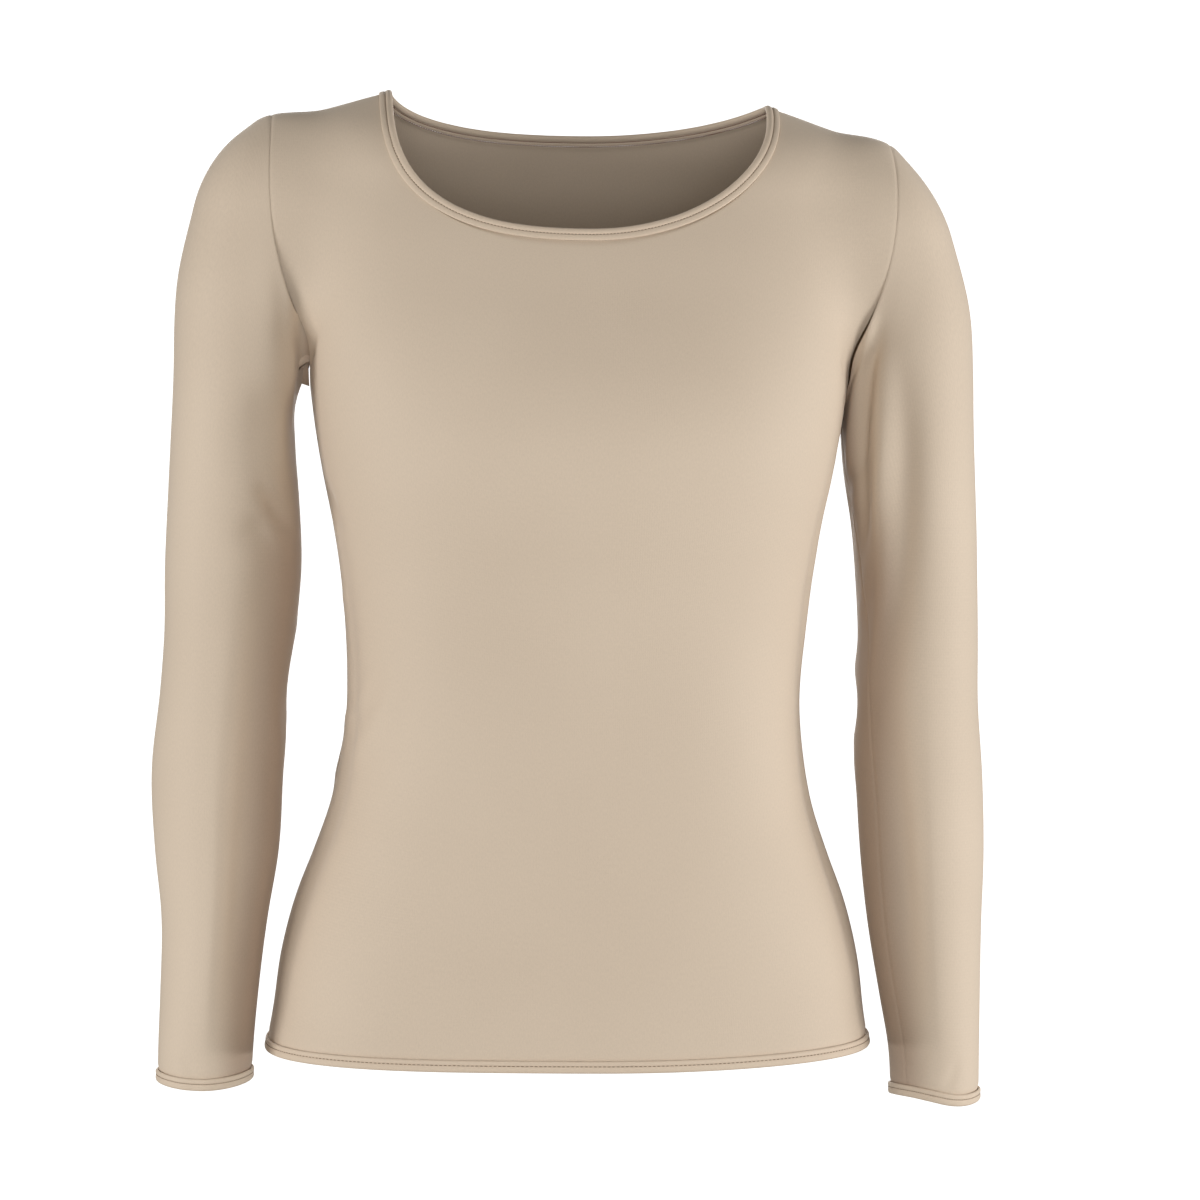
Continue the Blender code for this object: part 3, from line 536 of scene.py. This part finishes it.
def shoulder(side, tip, wanted):
    """The shoulder seam, from its tip to the neck band."""
    x = np.linspace(tip[0], NECK_CENTRE_X + side * NECK_HALF_WIDTH, LINE_SAMPLES)
    return spread(reach_out(lambda height: xyz(x, tip[1], height),
                            UNDER_SHOULDER, OVER_SHOULDER, x), wanted)


def side_seam(side, facing, underarm, wanted):
    """The side seam, from the hem band up to the underarm."""
    z = np.linspace(HEM_HEIGHT + side * HEM_LEAN, underarm[2], SIDE_SAMPLES)
    y = SIDE_Y(z) + facing * SEAM_GAP / 2
    line = reach_out(lambda distance: xyz(side * distance, y, z), INSIDE_BODY, OUTSIDE_BODY, z)
    line[-1] = underarm
    return spread(line, wanted)


def hem_seam(facing, wanted):
    """The lower edge of a panel, from the viewer's left to the right."""
    turn = np.linspace(math.pi, 0, LINE_SAMPLES)
    across = np.cos(turn)
    z = HEM_HEIGHT + HEM_LEAN * across**3
    start_y = SIDE_Y(z) + facing * SEAM_GAP / 2
    deep = facing * np.sin(turn)
    return spread(reach_out(lambda distance: xyz(distance * across, start_y + distance * deep, z),
                            INSIDE_BODY, OUTSIDE_BODY, turn), wanted)


def neckline(facing, left, right, wanted):
    """A panel's neck edge under the band, between its two neck points."""
    lowest, left_across, left_down, right_across, right_down = NECK_LINE[facing]
    turn = np.linspace(math.pi, 0, LINE_SAMPLES)
    on_left = np.cos(turn) < 0
    across = np.abs(np.cos(turn)) ** (2 / np.where(on_left, left_across, right_across))
    down = np.abs(np.sin(turn)) ** (2 / np.where(on_left, left_down, right_down))
    x = NECK_CENTRE_X + NECK_HALF_WIDTH * np.where(on_left, -across, across)
    shoulder_height = np.where(on_left, left[2], right[2])
    z = shoulder_height + (lowest - shoulder_height) * down
    return spread(reach_out(lambda distance: xyz(x, left[1] + facing * distance, z),
                            0.0, OUTSIDE_BODY, x), wanted)


# ======== panels
def fill_patch(bottom, top, left, right):
    """A grid between four edges: the two ruled blends less the corners' blend."""
    u = np.linspace(0, 1, len(bottom))[None, :, None]
    v = np.linspace(0, 1, len(left))[:, None, None]
    ruled_up = (1 - v) * bottom[None] + v * top[None]
    ruled_across = (1 - u) * left[:, None] + u * right[:, None]
    corners = ((1 - v) * ((1 - u) * bottom[0] + u * bottom[-1])
               + v * ((1 - u) * top[0] + u * top[-1]))
    return ruled_up + ruled_across - corners


def panel_edges(facing, across, up):
    """A panel's four edges, at marks counted in layout cells: hem, top (shoulder,
    neck, shoulder), and both sides (seam, then armhole)."""
    seam_marks = up[up <= SIDE_CELLS] / SIDE_CELLS
    hole_marks = (up[up > SIDE_CELLS] - SIDE_CELLS) / ARMHOLE_CELLS
    shoulder_marks = across[across <= SHOULDER_CELLS] / SHOULDER_CELLS
    neck_marks = (across[(across > SHOULDER_CELLS) & (across < PANEL_COLUMNS - SHOULDER_CELLS)]
                  - SHOULDER_CELLS) / NECK_CELLS
    edges, tops = {}, {}
    for side in (-1, 1):
        hole = panel_armhole(side, facing, np.concatenate((1 - hole_marks[::-1], [1.0])))
        seam = side_seam(side, facing, hole[-1], seam_marks)
        edges[side] = np.concatenate((seam, hole[::-1][1:]))
        tops[side] = shoulder(side, hole[0], shoulder_marks)
    neck = neckline(facing, tops[-1][-1], tops[1][-1], neck_marks)
    top = np.concatenate((tops[-1], neck, tops[1][::-1]))
    return hem_seam(facing, across / PANEL_COLUMNS), top, edges[-1], edges[1]


def layout(facing):
    """The panel's first grid, evened out over the figure."""
    grid = fill_patch(*panel_edges(facing, np.arange(PANEL_COLUMNS + 1.0),
                                   np.arange(PANEL_ROWS + 1.0)))
    inner = grid[1:-1, 1:-1]
    for _ in range(SETTLE_ROUNDS):
        inner[:] = (grid[:-2, 1:-1] + grid[2:, 1:-1] + grid[1:-1, :-2] + grid[1:-1, 2:]) / 4
        limit = ARMHOLE_X(inner[..., 2]) - SEAM_GAP
        inner[..., 0] = np.clip(inner[..., 0], -limit, limit)
        inner[:] = settle(inner, "torso", ROUGH_STEPS)
    inner[:] = settle(inner, "torso")
    return grid


def refine(rows, wanted):
    """Rows of points at marks between them: cubic pieces with central slopes."""
    slopes = np.gradient(rows, axis=0)
    here = np.clip(wanted.astype(int), 0, len(rows) - 2)
    return cubic((wanted - here)[:, None, None], rows[here], rows[here + 1], slopes[here],
                 slopes[here + 1])


def body_panel(facing):
    """Front (-1) or back (1) panel on its fine grid. The refined layout is shifted
    near each edge by what it misses there, then settled on the figure."""
    across, up = marks(PANEL_COLUMNS), marks(PANEL_ROWS)
    hem, top, left, right = panel_edges(facing, across, up)
    grid = refine(layout(facing), up)
    grid = refine(grid.swapaxes(0, 1), across).swapaxes(0, 1)
    for lines, wanted, first, last in ((grid, up, hem, top),
                                       (grid.swapaxes(0, 1), across, left, right)):
        low = np.clip(1 - wanted / EDGE_PULL, 0, 1)[:, None, None] ** 2
        high = np.clip(1 - (wanted[-1] - wanted) / EDGE_PULL, 0, 1)[:, None, None] ** 2
        lines += low * (first - lines[0]) + high * (last - lines[-1])
    inner = grid[1:-1, 1:-1]
    limit = ARMHOLE_X(inner[..., 2]) - SEAM_GAP / 2
    inner[..., 0] = np.clip(inner[..., 0], -limit, limit)
    grid[1:-1, 1:-1] = settle(inner, "torso", FINE_STEPS)
    return grid


def sleeve_ring(side, angles, height):
    """Points of the sleeve's own section, angles from its outer side."""
    arm = section(ARM[side], height)
    wide, deep = (np.sign(share) * np.abs(share) ** (2 / arm["power"])
                  for share in (np.cos(angles), np.sin(angles)))
    return xyz(side * (arm["centre_x"] + arm["half_width"] * wide),
               arm["centre_y"] + arm["half_depth"] * deep, height)


def cuff_height(side, angles):
    """The cuff's seam leans to the outer side and dips to the front and back."""
    return (CUFF_HEIGHT[side] + CUFF_LEAN[side] * np.cos(angles)
            - CUFF_DIP * np.sin(angles) ** 2)


def sleeve(side):
    """A sleeve: rows from armhole to cuff, columns once round it, front half first.
    Its seam is the middle column; each ring is turned so that it follows SEAM_TURN."""
    half = marks(ARMHOLE_CELLS) / ARMHOLE_CELLS
    front, back = armhole(side, -1, half), armhole(side, 1, half)
    start = np.concatenate((front, back[::-1][1:-1]))
    start[:, 0] += side * SEAM_GAP / 2
    share = np.concatenate((half / 2, 0.5 + half[1:-1] / 2))
    heights_of, turns = np.array(sorted(SEAM_TURN[side]), float).T

    def angles_at(height):
        lead = np.interp(height, heights_of, turns)
        return -2 * math.pi * share + lead * 0.5 * (1 - np.cos(2 * math.pi * share))

    ring = sleeve_ring(side, angles_at(SLEEVE_RING_HEIGHT), SLEEVE_RING_HEIGHT)
    down = marks(SLEEVE_TOP_CELLS + SLEEVE_LOW_CELLS)
    low_marks = (down[down > SLEEVE_TOP_CELLS] - SLEEVE_TOP_CELLS) / SLEEVE_LOW_CELLS
    even = np.linspace(0, 1, SLEEVE_TOP_CELLS + 1)
    top = start + (ring - start) * even[:, None, None]
    for _ in range(SLEEVE_ROUNDS):
        top[1:-1] = settle(top[1:-1], "arm")
        top = np.stack([spread(column, even) for column in top.swapaxes(0, 1)], axis=1)
    top = refine(top, down[down <= SLEEVE_TOP_CELLS])
    top[1:-1] = settle(top[1:-1], "arm", FINE_STEPS)
    drop = cuff_height(side, -2 * math.pi * share) - SLEEVE_RING_HEIGHT
    heights = SLEEVE_RING_HEIGHT + drop * low_marks[:, None]
    angles = angles_at(heights.mean(axis=1, keepdims=True))
    return np.concatenate((top, sleeve_ring(side, angles, heights)))


# ======== creases
def bent_line(start, middle, end):
    """A curve through three places."""
    t = np.linspace(0, 1, CREASE_SAMPLES)[:, None]
    start, middle, end = (np.array(place, float) for place in (start, middle, end))
    bend = 2 * middle - (start + end) / 2
    return (1 - t) ** 2 * start + 2 * t * (1 - t) * bend + t**2 * end


def crease_line(facing, places, part):
    """A crease's curve: x and z through its three places, y where the cloth is."""
    x, z = bent_line(*places).T
    side = -1 if x.mean() < 0 else 1
    centre = ARM[side]["centre_y"](z) if part == "arm" else SIDE_Y(z)
    return reach_out(lambda distance: xyz(x, centre + facing * distance, z),
                     0.0, OUTSIDE_BODY, x, part)


def bell_rise(points, line, width, height):
    """How far one crease pushes points: a bell across it, fading at its ends."""
    fade = np.sin(np.linspace(0, math.pi, len(line))) ** FOLD_FADE
    near = np.all((points > line.min(axis=0) - 2 * width)
                  & (points < line.max(axis=0) + 2 * width), axis=-1)
    away = np.linalg.norm(points[near][:, None, :] - line, axis=-1)
    bell = np.exp(-0.5 * (FOLD_SHARPNESS * away / width) ** 2) * fade
    rise = np.zeros(points.shape[:-1])
    rise[near] = height * bell.max(axis=-1, initial=0.0)
    return rise


def crease_rise(points, name, part):
    """All folds and creases of one piece together."""
    rise = np.zeros(points.shape[:-1])
    for *places, width, height in FOLDS:
        rise += bell_rise(points, settle(bent_line(*places), part), width, height)
    for facing in (-1, 1):
        for *places, width, height in CREASES.get((name, facing), ()):
            rise += bell_rise(points, crease_line(facing, places, part), width, height)
    return rise


def seam_dip(points, closed):
    """How far sewing pulls the cloth in: bells of the distance to a sewn edge. Seams
    run along a body panel's sides and shoulders, and along a sleeve's first row and
    middle column; bands are sewn to neck, hem and cuffs."""
    across, along = lengths_along(points, 1), lengths_along(points)
    top = along[-1:] - along
    if closed:
        nearest = np.minimum(along, np.abs(across - across[:, [points.shape[1] // 2]]))
        banded = top
    else:
        under_band = np.abs(points[-1, :, 0] - NECK_CENTRE_X) < NECK_HALF_WIDTH - SEAM_REACH
        nearest = np.minimum(across, across[:, -1:] - across)
        nearest = np.minimum(nearest, np.where(under_band, np.inf, top))
        banded = np.minimum(along, np.where(under_band, top, np.inf))
    return (-SEAM_DIP * np.exp(-((nearest / SEAM_REACH) ** 2))
            - BAND_DIP * np.exp(-((banded / BAND_REACH) ** 2)))


# ======== meshes
def grid_cells(rows, columns):
    """Each cell's four corners in a grid, as their rows and their columns."""
    i, j = np.meshgrid(np.arange(rows), np.arange(columns), indexing="ij")
    return (np.stack((i, i, i + 1, i + 1), -1).reshape(-1, 4),
            np.stack((j, j + 1, j + 1, j), -1).reshape(-1, 4))


def wall_quads(rows, columns, closed):
    """Faces of a wall whose outer grid comes first and inner grid second, and each
    corner's row and column in the grid, not wrapped."""
    cells = columns - (0 if closed else 1)
    i, j = grid_cells(rows - 1, cells)
    forth, back, deep = np.array(((0, 1, 1, 0), (1, 0, 0, 1), (0, 0, 1, 1)))
    faces = [(i, j, 0), (i[:, ::-1], j[:, ::-1], 1)]
    for row, turn in ((0, back), (rows - 1, forth)):
        corner = np.arange(cells)[:, None] + turn
        faces.append((np.full_like(corner, row), corner, deep))
    for column, turn in () if closed else ((0, forth), (columns - 1, back)):
        corner = np.arange(rows - 1)[:, None] + turn
        faces.append((corner, np.full_like(corner, column), deep))
    quads = np.concatenate([(level * rows + i) * columns + j % columns for i, j, level in faces])
    return quads, *(np.concatenate([face[place] for face in faces]) for place in (0, 1))


def turned_out(points, quads, *maps):
    """Faces and their corners' maps, reversed if the surface is inside out."""
    a, b, c, d = (points[quads[:, corner]] for corner in range(4))
    volume = np.sum(a * np.cross(b, c)) + np.sum(a * np.cross(c, d))
    return [values[:, ::-1] if volume < 0 else values for values in (quads, *maps)]


def add_object(name, data):
    thing = bpy.data.objects.new(name, data)
    bpy.context.scene.collection.objects.link(thing)
    return thing


def new_object(name, points, faces, material):
    """A smooth mesh object at the origin, from points in metres."""
    mesh = bpy.data.meshes.new(name)
    mesh.from_pydata(points.tolist(), [], faces)
    mesh.update()
    mesh.shade_smooth()
    mesh.materials.append(material)
    return add_object(name, mesh)


def new_piece(name, points, quads, material, uv=None):
    """A visible piece, riding on the root body."""
    piece = new_object(name, points * MM, quads.tolist(), material)
    piece.data.set_sharp_from_angle(angle=SHARP_ANGLE)
    if uv is not None:
        layer = piece.data.uv_layers.new(name="cloth")
        layer.data.foreach_set("uv", uv.astype(np.float32).ravel())
    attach(piece, "root")
    return piece


def cloth_map(points, closed):
    """The cloth's own map in metres: length along the rows, length down the columns."""
    loop = np.concatenate((points, points[:, :1]), axis=1) if closed else points
    return lengths_along(loop, 1).mean(axis=0) * MM, lengths_along(points).mean(axis=1) * MM


def painted_inner_shade(points):
    """Painted shade on a sleeve: how far each point lies on the side that faces
    the body, faded in from under the armpit down.
    """
    x, z = points[:, 0], points[:, 2]
    side = -1 if x.mean() < 0 else 1
    inwards = (ARM[side]["centre_x"](z) - side * x) / ARM[side]["half_width"](z)
    return np.max([smooth_step(start, whole, inwards) * smooth_step(-top, -full, -z)
                   for top, full, start, whole in PAINTED_SHADE_ZONES], axis=0)


def add_panel(name, grid, part, material):
    """A panel as a thin shell: its outer face is the grid with creases and seam dips,
    its inner face lies SHELL below that along the same normals."""
    closed = part == "arm"
    normals = outward(grid, part)
    flat = grid + normals * crease_rise(grid, name, part)[..., None]
    outer = flat + normals * seam_dip(grid, closed)[..., None]
    inner = outer - SHELL * normals
    points = np.concatenate((outer.reshape(-1, 3), inner.reshape(-1, 3)))
    quads, rows_of, columns_of = wall_quads(grid.shape[0], grid.shape[1], closed)
    u, v = cloth_map(grid, closed)
    quads, uv = turned_out(points, quads, np.stack((u[columns_of], v[rows_of]), axis=-1))
    piece = new_piece(name + "_cloth", points, quads, material, uv.reshape(-1, 2))
    # painted shade: sleeves get an attribute for their inner side, which darkens and browns the
    # jersey there
    if closed:
        shade = piece.data.attributes.new("painted_inner_shade", "FLOAT", "POINT")
        shade.data.foreach_set("value", painted_inner_shade(points).astype(np.float32))
    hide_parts(name)
    return piece, flat, normals


# ======== bands
def smooth_outline(outline):
    """A closed outline with OUTLINE_FINE points to each given one, as cubic pieces."""
    here = np.array(outline)[:, None]
    leave = (np.roll(here, -1, axis=0) - np.roll(here, 1, axis=0)) / 2
    t = (np.arange(OUTLINE_FINE) / OUTLINE_FINE)[None, :, None]
    fine = cubic(t, here, np.roll(here, -1, axis=0), leave, np.roll(leave, -1, axis=0))
    return fine.reshape(-1, 2)


def unit(vectors):
    return vectors / np.linalg.norm(vectors, axis=-1, keepdims=True)


def closed_line(line):
    return np.concatenate((line, line[:1]))


def even_loop(seam, normals, away):
    """A closed seam line resampled to even steps, with its normals and sideways."""
    lengths = lengths_along(closed_line(seam))
    wanted = np.linspace(0, lengths[-1], int(lengths[-1] / BAND_STEP) + 1)[:-1]
    line, normals = (at_lengths(wanted, lengths, closed_line(values))
                     for values in (seam, normals))
    along = unit(np.roll(line, -1, axis=0) - np.roll(line, 1, axis=0))
    across = unit(np.cross(along, unit(normals)))
    for _ in range(BAND_SMOOTHING):
        across = unit(np.roll(across, 1, axis=0) + across + np.roll(across, -1, axis=0))
    return line, unit(normals), across * np.sign(np.sum(across * away.mean(axis=0)))


def body_loop(panels, edge, inwards, columns=slice(None)):
    """The body's neck or hem line, all round, from its panels' rows there."""
    joined = []
    for front, back in zip(*((flat[edge, columns], normals[edge, columns],
                              flat[edge, columns] - flat[edge + inwards, columns])
                             for _, flat, normals in panels)):
        ends = (front[[0, -1]] + back[[0, -1]]) / 2
        joined.append(np.concatenate((ends[:1], front[1:-1], ends[1:], back[::-1][1:-1])))
    line, normals, away = joined
    return even_loop(line, unit(normals), away)


def add_band(name, loop, outline, material):
    """A band: its outline carried round the seam line, a little uneven as if sewn."""
    line, normals, across = loop
    profile = smooth_outline(outline)
    turn = np.linspace(0, 2 * math.pi, len(line), endpoint=False)[:, None, None]
    uneven = 1 + sum(share * np.sin(waves * turn + start) for share, waves, start in BAND_WAVES)
    points = (line[:, None] + (BAND_GAP + profile[None, :, :1]) * across[:, None]
              + profile[None, :, 1:] * uneven * normals[:, None]).reshape(-1, 3)
    i, j = grid_cells(len(line), len(profile))
    girth = lengths_along(closed_line(profile))
    step = np.linalg.norm(line[1] - line[0])
    quads, uv = turned_out(points, (i % len(line)) * len(profile) + j % len(profile),
                           np.stack((girth[j], i * step), axis=-1) * MM)
    piece = new_piece(name + "_cloth", points, quads, material, uv.reshape(-1, 2))
    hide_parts(name)
    return piece


# ======== stitches
def add_stitches(name, loop, row, stitch, material):
    """A row of stitches along a band: each a short thread of STITCH_RINGS rings of
    STITCH_SIDES points, thickest in its middle and sunk at both ends."""
    line, normals, across = loop
    reach, height = row
    pitch, length, radius = stitch
    path = line + (BAND_GAP + reach) * across + height * normals
    lengths = lengths_along(closed_line(path))
    middles = np.linspace(0, lengths[-1], int(lengths[-1] / pitch) + 1)[:-1]
    along = np.linspace(-0.5, 0.5, STITCH_RINGS)
    wanted = (middles[:, None] + length * along) % lengths[-1]
    centre, up, out = (at_lengths(wanted, lengths, closed_line(values))[:, :, None]
                       for values in (path, normals, across))
    swell = np.cos(math.pi * along * STITCH_TAPER)[:, None, None]
    turn = (np.arange(STITCH_SIDES) / STITCH_SIDES * 2 * math.pi)[:, None]
    rings = (centre + radius * (swell - STITCH_SINK) * up
             + radius * np.sqrt(swell) * (np.cos(turn) * out + np.sin(turn) * up))
    i, j = grid_cells(STITCH_RINGS - 1, STITCH_SIDES)
    caps = np.array([[0, 3, 2, 1], [0, 5, 4, 3]])
    last = (STITCH_RINGS - 1) * STITCH_SIDES
    quads, = turned_out(rings[0].reshape(-1, 3), np.concatenate(
        (i * STITCH_SIDES + j % STITCH_SIDES, caps, last + caps[:, ::-1])))
    firsts = np.arange(len(rings))[:, None, None] * STITCH_RINGS * STITCH_SIDES
    return new_piece(name, rings.reshape(-1, 3), (quads + firsts).reshape(-1, 4), material)


# ======== finishes
def new_material(name):
    material = bpy.data.materials.new(name)
    material.use_nodes = True
    return material, material.node_tree, material.node_tree.nodes["Principled BSDF"]


def wire(tree, node, values=(), sources=()):
    """A node's inputs: plain values, and links from other nodes' outputs."""
    for name, value in dict(values).items():
        node.inputs[name].default_value = value
    for name, source in dict(sources).items():
        tree.links.new(source, node.inputs[name])
    return node


def add_node(tree, kind, values=(), sources=(), operation=None):
    node = tree.nodes.new("ShaderNode" + kind)
    if operation:
        node.operation = operation
    return wire(tree, node, values, sources)


def tones(tree, source, places, colours):
    """Colours between two, the first and last at these places of the source."""
    node = add_node(tree, "ValToRGB", (), {"Fac": source})
    for element, place, colour in zip(node.color_ramp.elements, places, colours):
        element.position = place
        element.color = (*colour, 1.0)
    return node.outputs["Color"]


def jersey(name, light, dark):
    """Fine viscose jersey: two close tones in soft clouds, faint fibres, and wales
    and courses of the knit as bump on the cloth's own map. Painted shade, darker and
    browner, is multiplied into the colour where a sleeve's attribute marks its inner side."""
    material, tree, shader = new_material(name)
    place = add_node(tree, "TexCoord").outputs
    clouds = add_node(tree, "TexNoise", CLOUDS, {"Vector": place["Object"]})
    stretch = add_node(tree, "Mapping", FIBRE_STRETCH, {"Vector": place["UV"]})
    fibres = add_node(tree, "TexNoise", FIBRES, {"Vector": stretch.outputs["Vector"]})
    flecks = add_node(tree, "MapRange", FLECKS, {"Value": fibres.outputs["Fac"]})
    tone = tones(tree, clouds.outputs["Fac"], CLOUD_ENDS, (dark, light))
    colour = add_node(tree, "VectorMath", (), {0: tone, "Scale": flecks.outputs["Result"]},
                      "SCALE")
    # painted shade: the sleeve's attribute mixes a darker, browner tint into the colour
    inner = add_node(tree, "Attribute")
    inner.attribute_name = "painted_inner_shade"
    painted_shade_mix = add_node(tree, "Mix")
    painted_shade_mix.data_type, painted_shade_mix.blend_type = "RGBA", "MULTIPLY"
    wire(tree, painted_shade_mix, {MIX_SECOND: (*PAINTED_SHADE_TINT, 1.0)},
         {MIX_FACTOR: inner.outputs["Fac"], MIX_FIRST: colour.outputs["Vector"]})
    rough = add_node(tree, "MapRange", ROUGHNESS, {"Value": fibres.outputs["Fac"]})
    knit = add_node(tree, "Math", operation="MULTIPLY")
    for socket, direction, values in ((0, "X", WALES), (1, "Y", COURSES)):
        wave = add_node(tree, "TexWave", values, {"Vector": place["UV"]})
        wave.bands_direction = direction
        wire(tree, knit, (), {socket: wave.outputs["Fac"]})
    relief = add_node(tree, "Math", (), {0: knit.outputs["Value"], 1: fibres.outputs["Fac"]},
                      "ADD")
    bump = add_node(tree, "Bump", JERSEY_BUMP, {"Height": relief.outputs["Value"]})
    wire(tree, shader, JERSEY_SHADER, {"Base Color": painted_shade_mix.outputs[MIX_RESULT],
                                       "Roughness": rough.outputs["Result"],
                                       "Normal": bump.outputs["Normal"]})
    return material


def thread(name, colour):
    """Spun thread: one tone with a fine twist in its brightness and bump."""
    material, tree, shader = new_material(name)
    place = add_node(tree, "TexCoord")
    twist = add_node(tree, "TexNoise", TWIST, {"Vector": place.outputs["Object"]}).outputs["Fac"]
    shades = [[share * part for part in colour] for share in TWIST_TONES]
    bump = add_node(tree, "Bump", THREAD_BUMP, {"Height": twist})
    wire(tree, shader, THREAD_SHADER, {"Base Color": tones(tree, twist, (0.0, 1.0), shades),
                                       "Normal": bump.outputs["Normal"]})
    return material


# ======== studio
def add_floor():
    """A pale round floor, flat to SWEEP_START, then a quarter circle up as a wall."""
    turn = np.linspace(0, 2 * math.pi, FLOOR_SIDES + 1)[:-1]
    bend = np.linspace(0, math.pi / 2, BEND_RINGS)
    radius = np.concatenate(([FLOOR_MIDDLE, SWEEP_START / 2],
                             SWEEP_START + SWEEP_BEND * np.sin(bend)))[:, None]
    height = np.concatenate(([0, 0], SWEEP_BEND * (1 - np.cos(bend))))[:, None] + FLOOR_HEIGHT
    points = xyz(radius * np.cos(turn), radius * np.sin(turn), height)
    i, j = grid_cells(len(radius) - 1, FLOOR_SIDES)
    quads = (i * FLOOR_SIDES + j % FLOOR_SIDES)[:, ::-1].tolist()
    material, tree, shader = new_material("pale_floor")
    wire(tree, shader, FLOOR_SHADER)
    floor = new_object("studio_floor", points.reshape(-1, 3),
                       quads + [list(range(FLOOR_SIDES))[::-1]], material)
    # It is seen, but throws no light of its own back at the garment.
    floor.visible_diffuse = floor.visible_glossy = floor.visible_shadow = False


def add_light(name, place, size, power):
    """A soft square light facing the middle of the garment."""
    light = bpy.data.lights.new(name, "AREA")
    light.shape = "SQUARE"
    light.size = size
    light.energy = power
    lamp = add_object(name, light)
    lamp.location = place
    lamp.rotation_euler = aim(np.array(place), np.array(LIGHT_TARGET)).to_euler()


def aim(place, target, roll=0.0):
    """The turn that points an object's -Z at the target, rolled about it."""
    forward = unit(target - place)
    right = unit(np.cross(forward, [0, 0, 1]))
    up = np.cross(right, forward)
    tilted = right * math.cos(roll) + up * math.sin(roll)
    upright = -right * math.sin(roll) + up * math.cos(roll)
    return Matrix(np.stack((tilted, upright, -forward), axis=1).tolist())


def add_camera():
    """The photograph's view: nearly level, from a little to the viewer's left."""
    camera = bpy.data.cameras.new("photo_view")
    camera.sensor_width = SENSOR_WIDTH
    camera.lens = SENSOR_WIDTH * CAMERA_DISTANCE / FRAME_WIDTH
    camera.clip_end = FARTHEST_SEEN
    turn = math.radians(CAMERA_TURN)
    target = np.array([CAMERA_AIM[0], 0.0, CAMERA_AIM[1]])
    place = np.array([CAMERA_AIM[0] + CAMERA_DISTANCE * math.sin(turn),
                      -CAMERA_DISTANCE * math.cos(turn), CAMERA_HEIGHT])
    eye = add_object("photo_view", camera)
    eye.matrix_world = aim(place, target, math.radians(CAMERA_ROLL)).to_4x4()
    eye.location = place * MM
    bpy.context.scene.camera = eye


# ======== build
def build():
    body_cloth_and_painted_shade = jersey("beige_jersey_and_painted_shade", JERSEY_LIGHT, JERSEY_DARK)
    # painted light: the bands' jersey is lightened against the body's
    lifted_band_cloth = jersey("band_jersey_painted_lighter", LIFTED_BAND_LIGHT, LIFTED_BAND_DARK)
    # both threads are darkened as painted shade of the stitching's pits and groove
    pit_shade_thread = thread("thread_painted_pit_shade", THREAD_AS_PIT_SHADE)
    red_thread_and_shade = thread("red_thread_painted_shade", RED_THREAD_AND_SHADE)

    panels = [add_panel(name, body_panel(facing), "torso", body_cloth_and_painted_shade)
              for name, facing in (("front_panel", -1), ("back_panel", 1))]
    across = np.abs(marks(PANEL_COLUMNS) - PANEL_COLUMNS / 2)
    neck_loop = body_loop(panels, -1, -NECK_INWARDS, across <= NECK_CELLS / 2)
    hem_loop = body_loop(panels, 0, HEM_INWARDS)
    neck_band = add_band("neck_band", neck_loop, NECK_OUTLINE, lifted_band_cloth)
    hem_band = add_band("hem_band", hem_loop, TURNED_OUTLINE, lifted_band_cloth)
    neck_sewing = [add_stitches(name, neck_loop, row, stitch, colour)
                   for name, row, stitch, colour in (
                       ("neck_stitches", NECK_ROW, NECK_STITCH, pit_shade_thread),
                       ("neck_inner_stitches_upper", INNER_UPPER_ROW, INNER_STITCH, red_thread_and_shade),
                       ("neck_inner_stitches_lower", INNER_LOWER_ROW, INNER_STITCH, red_thread_and_shade))]
    hem_sewing = [add_stitches("hem_stitches", hem_loop, TURNED_ROW, HEM_STITCH, pit_shade_thread)]

    for side, label in ((-1, "left"), (1, "right")):
        piece, flat, normals = add_panel("sleeve_" + label, sleeve(side), "arm", body_cloth_and_painted_shade)
        loop = even_loop(flat[-1], normals[-1], flat[-1] - flat[-1 - NECK_INWARDS])
        band = add_band("cuff_band_" + label, loop, TURNED_OUTLINE, lifted_band_cloth)
        sewing = add_stitches("cuff_stitches_" + label, loop, TURNED_ROW, CUFF_STITCH,
                              pit_shade_thread)

    add_floor()
    for row in LIGHTS:
        add_light(*row)
    world = bpy.data.worlds.new("studio_air")
    world.use_nodes = True
    wire(world.node_tree, world.node_tree.nodes["Background"],
         {"Color": AIR_COLOUR, "Strength": AIR_LIGHT})
    bpy.context.scene.world = world
    bpy.context.scene.view_settings.view_transform = "Standard"
    add_camera()


build()
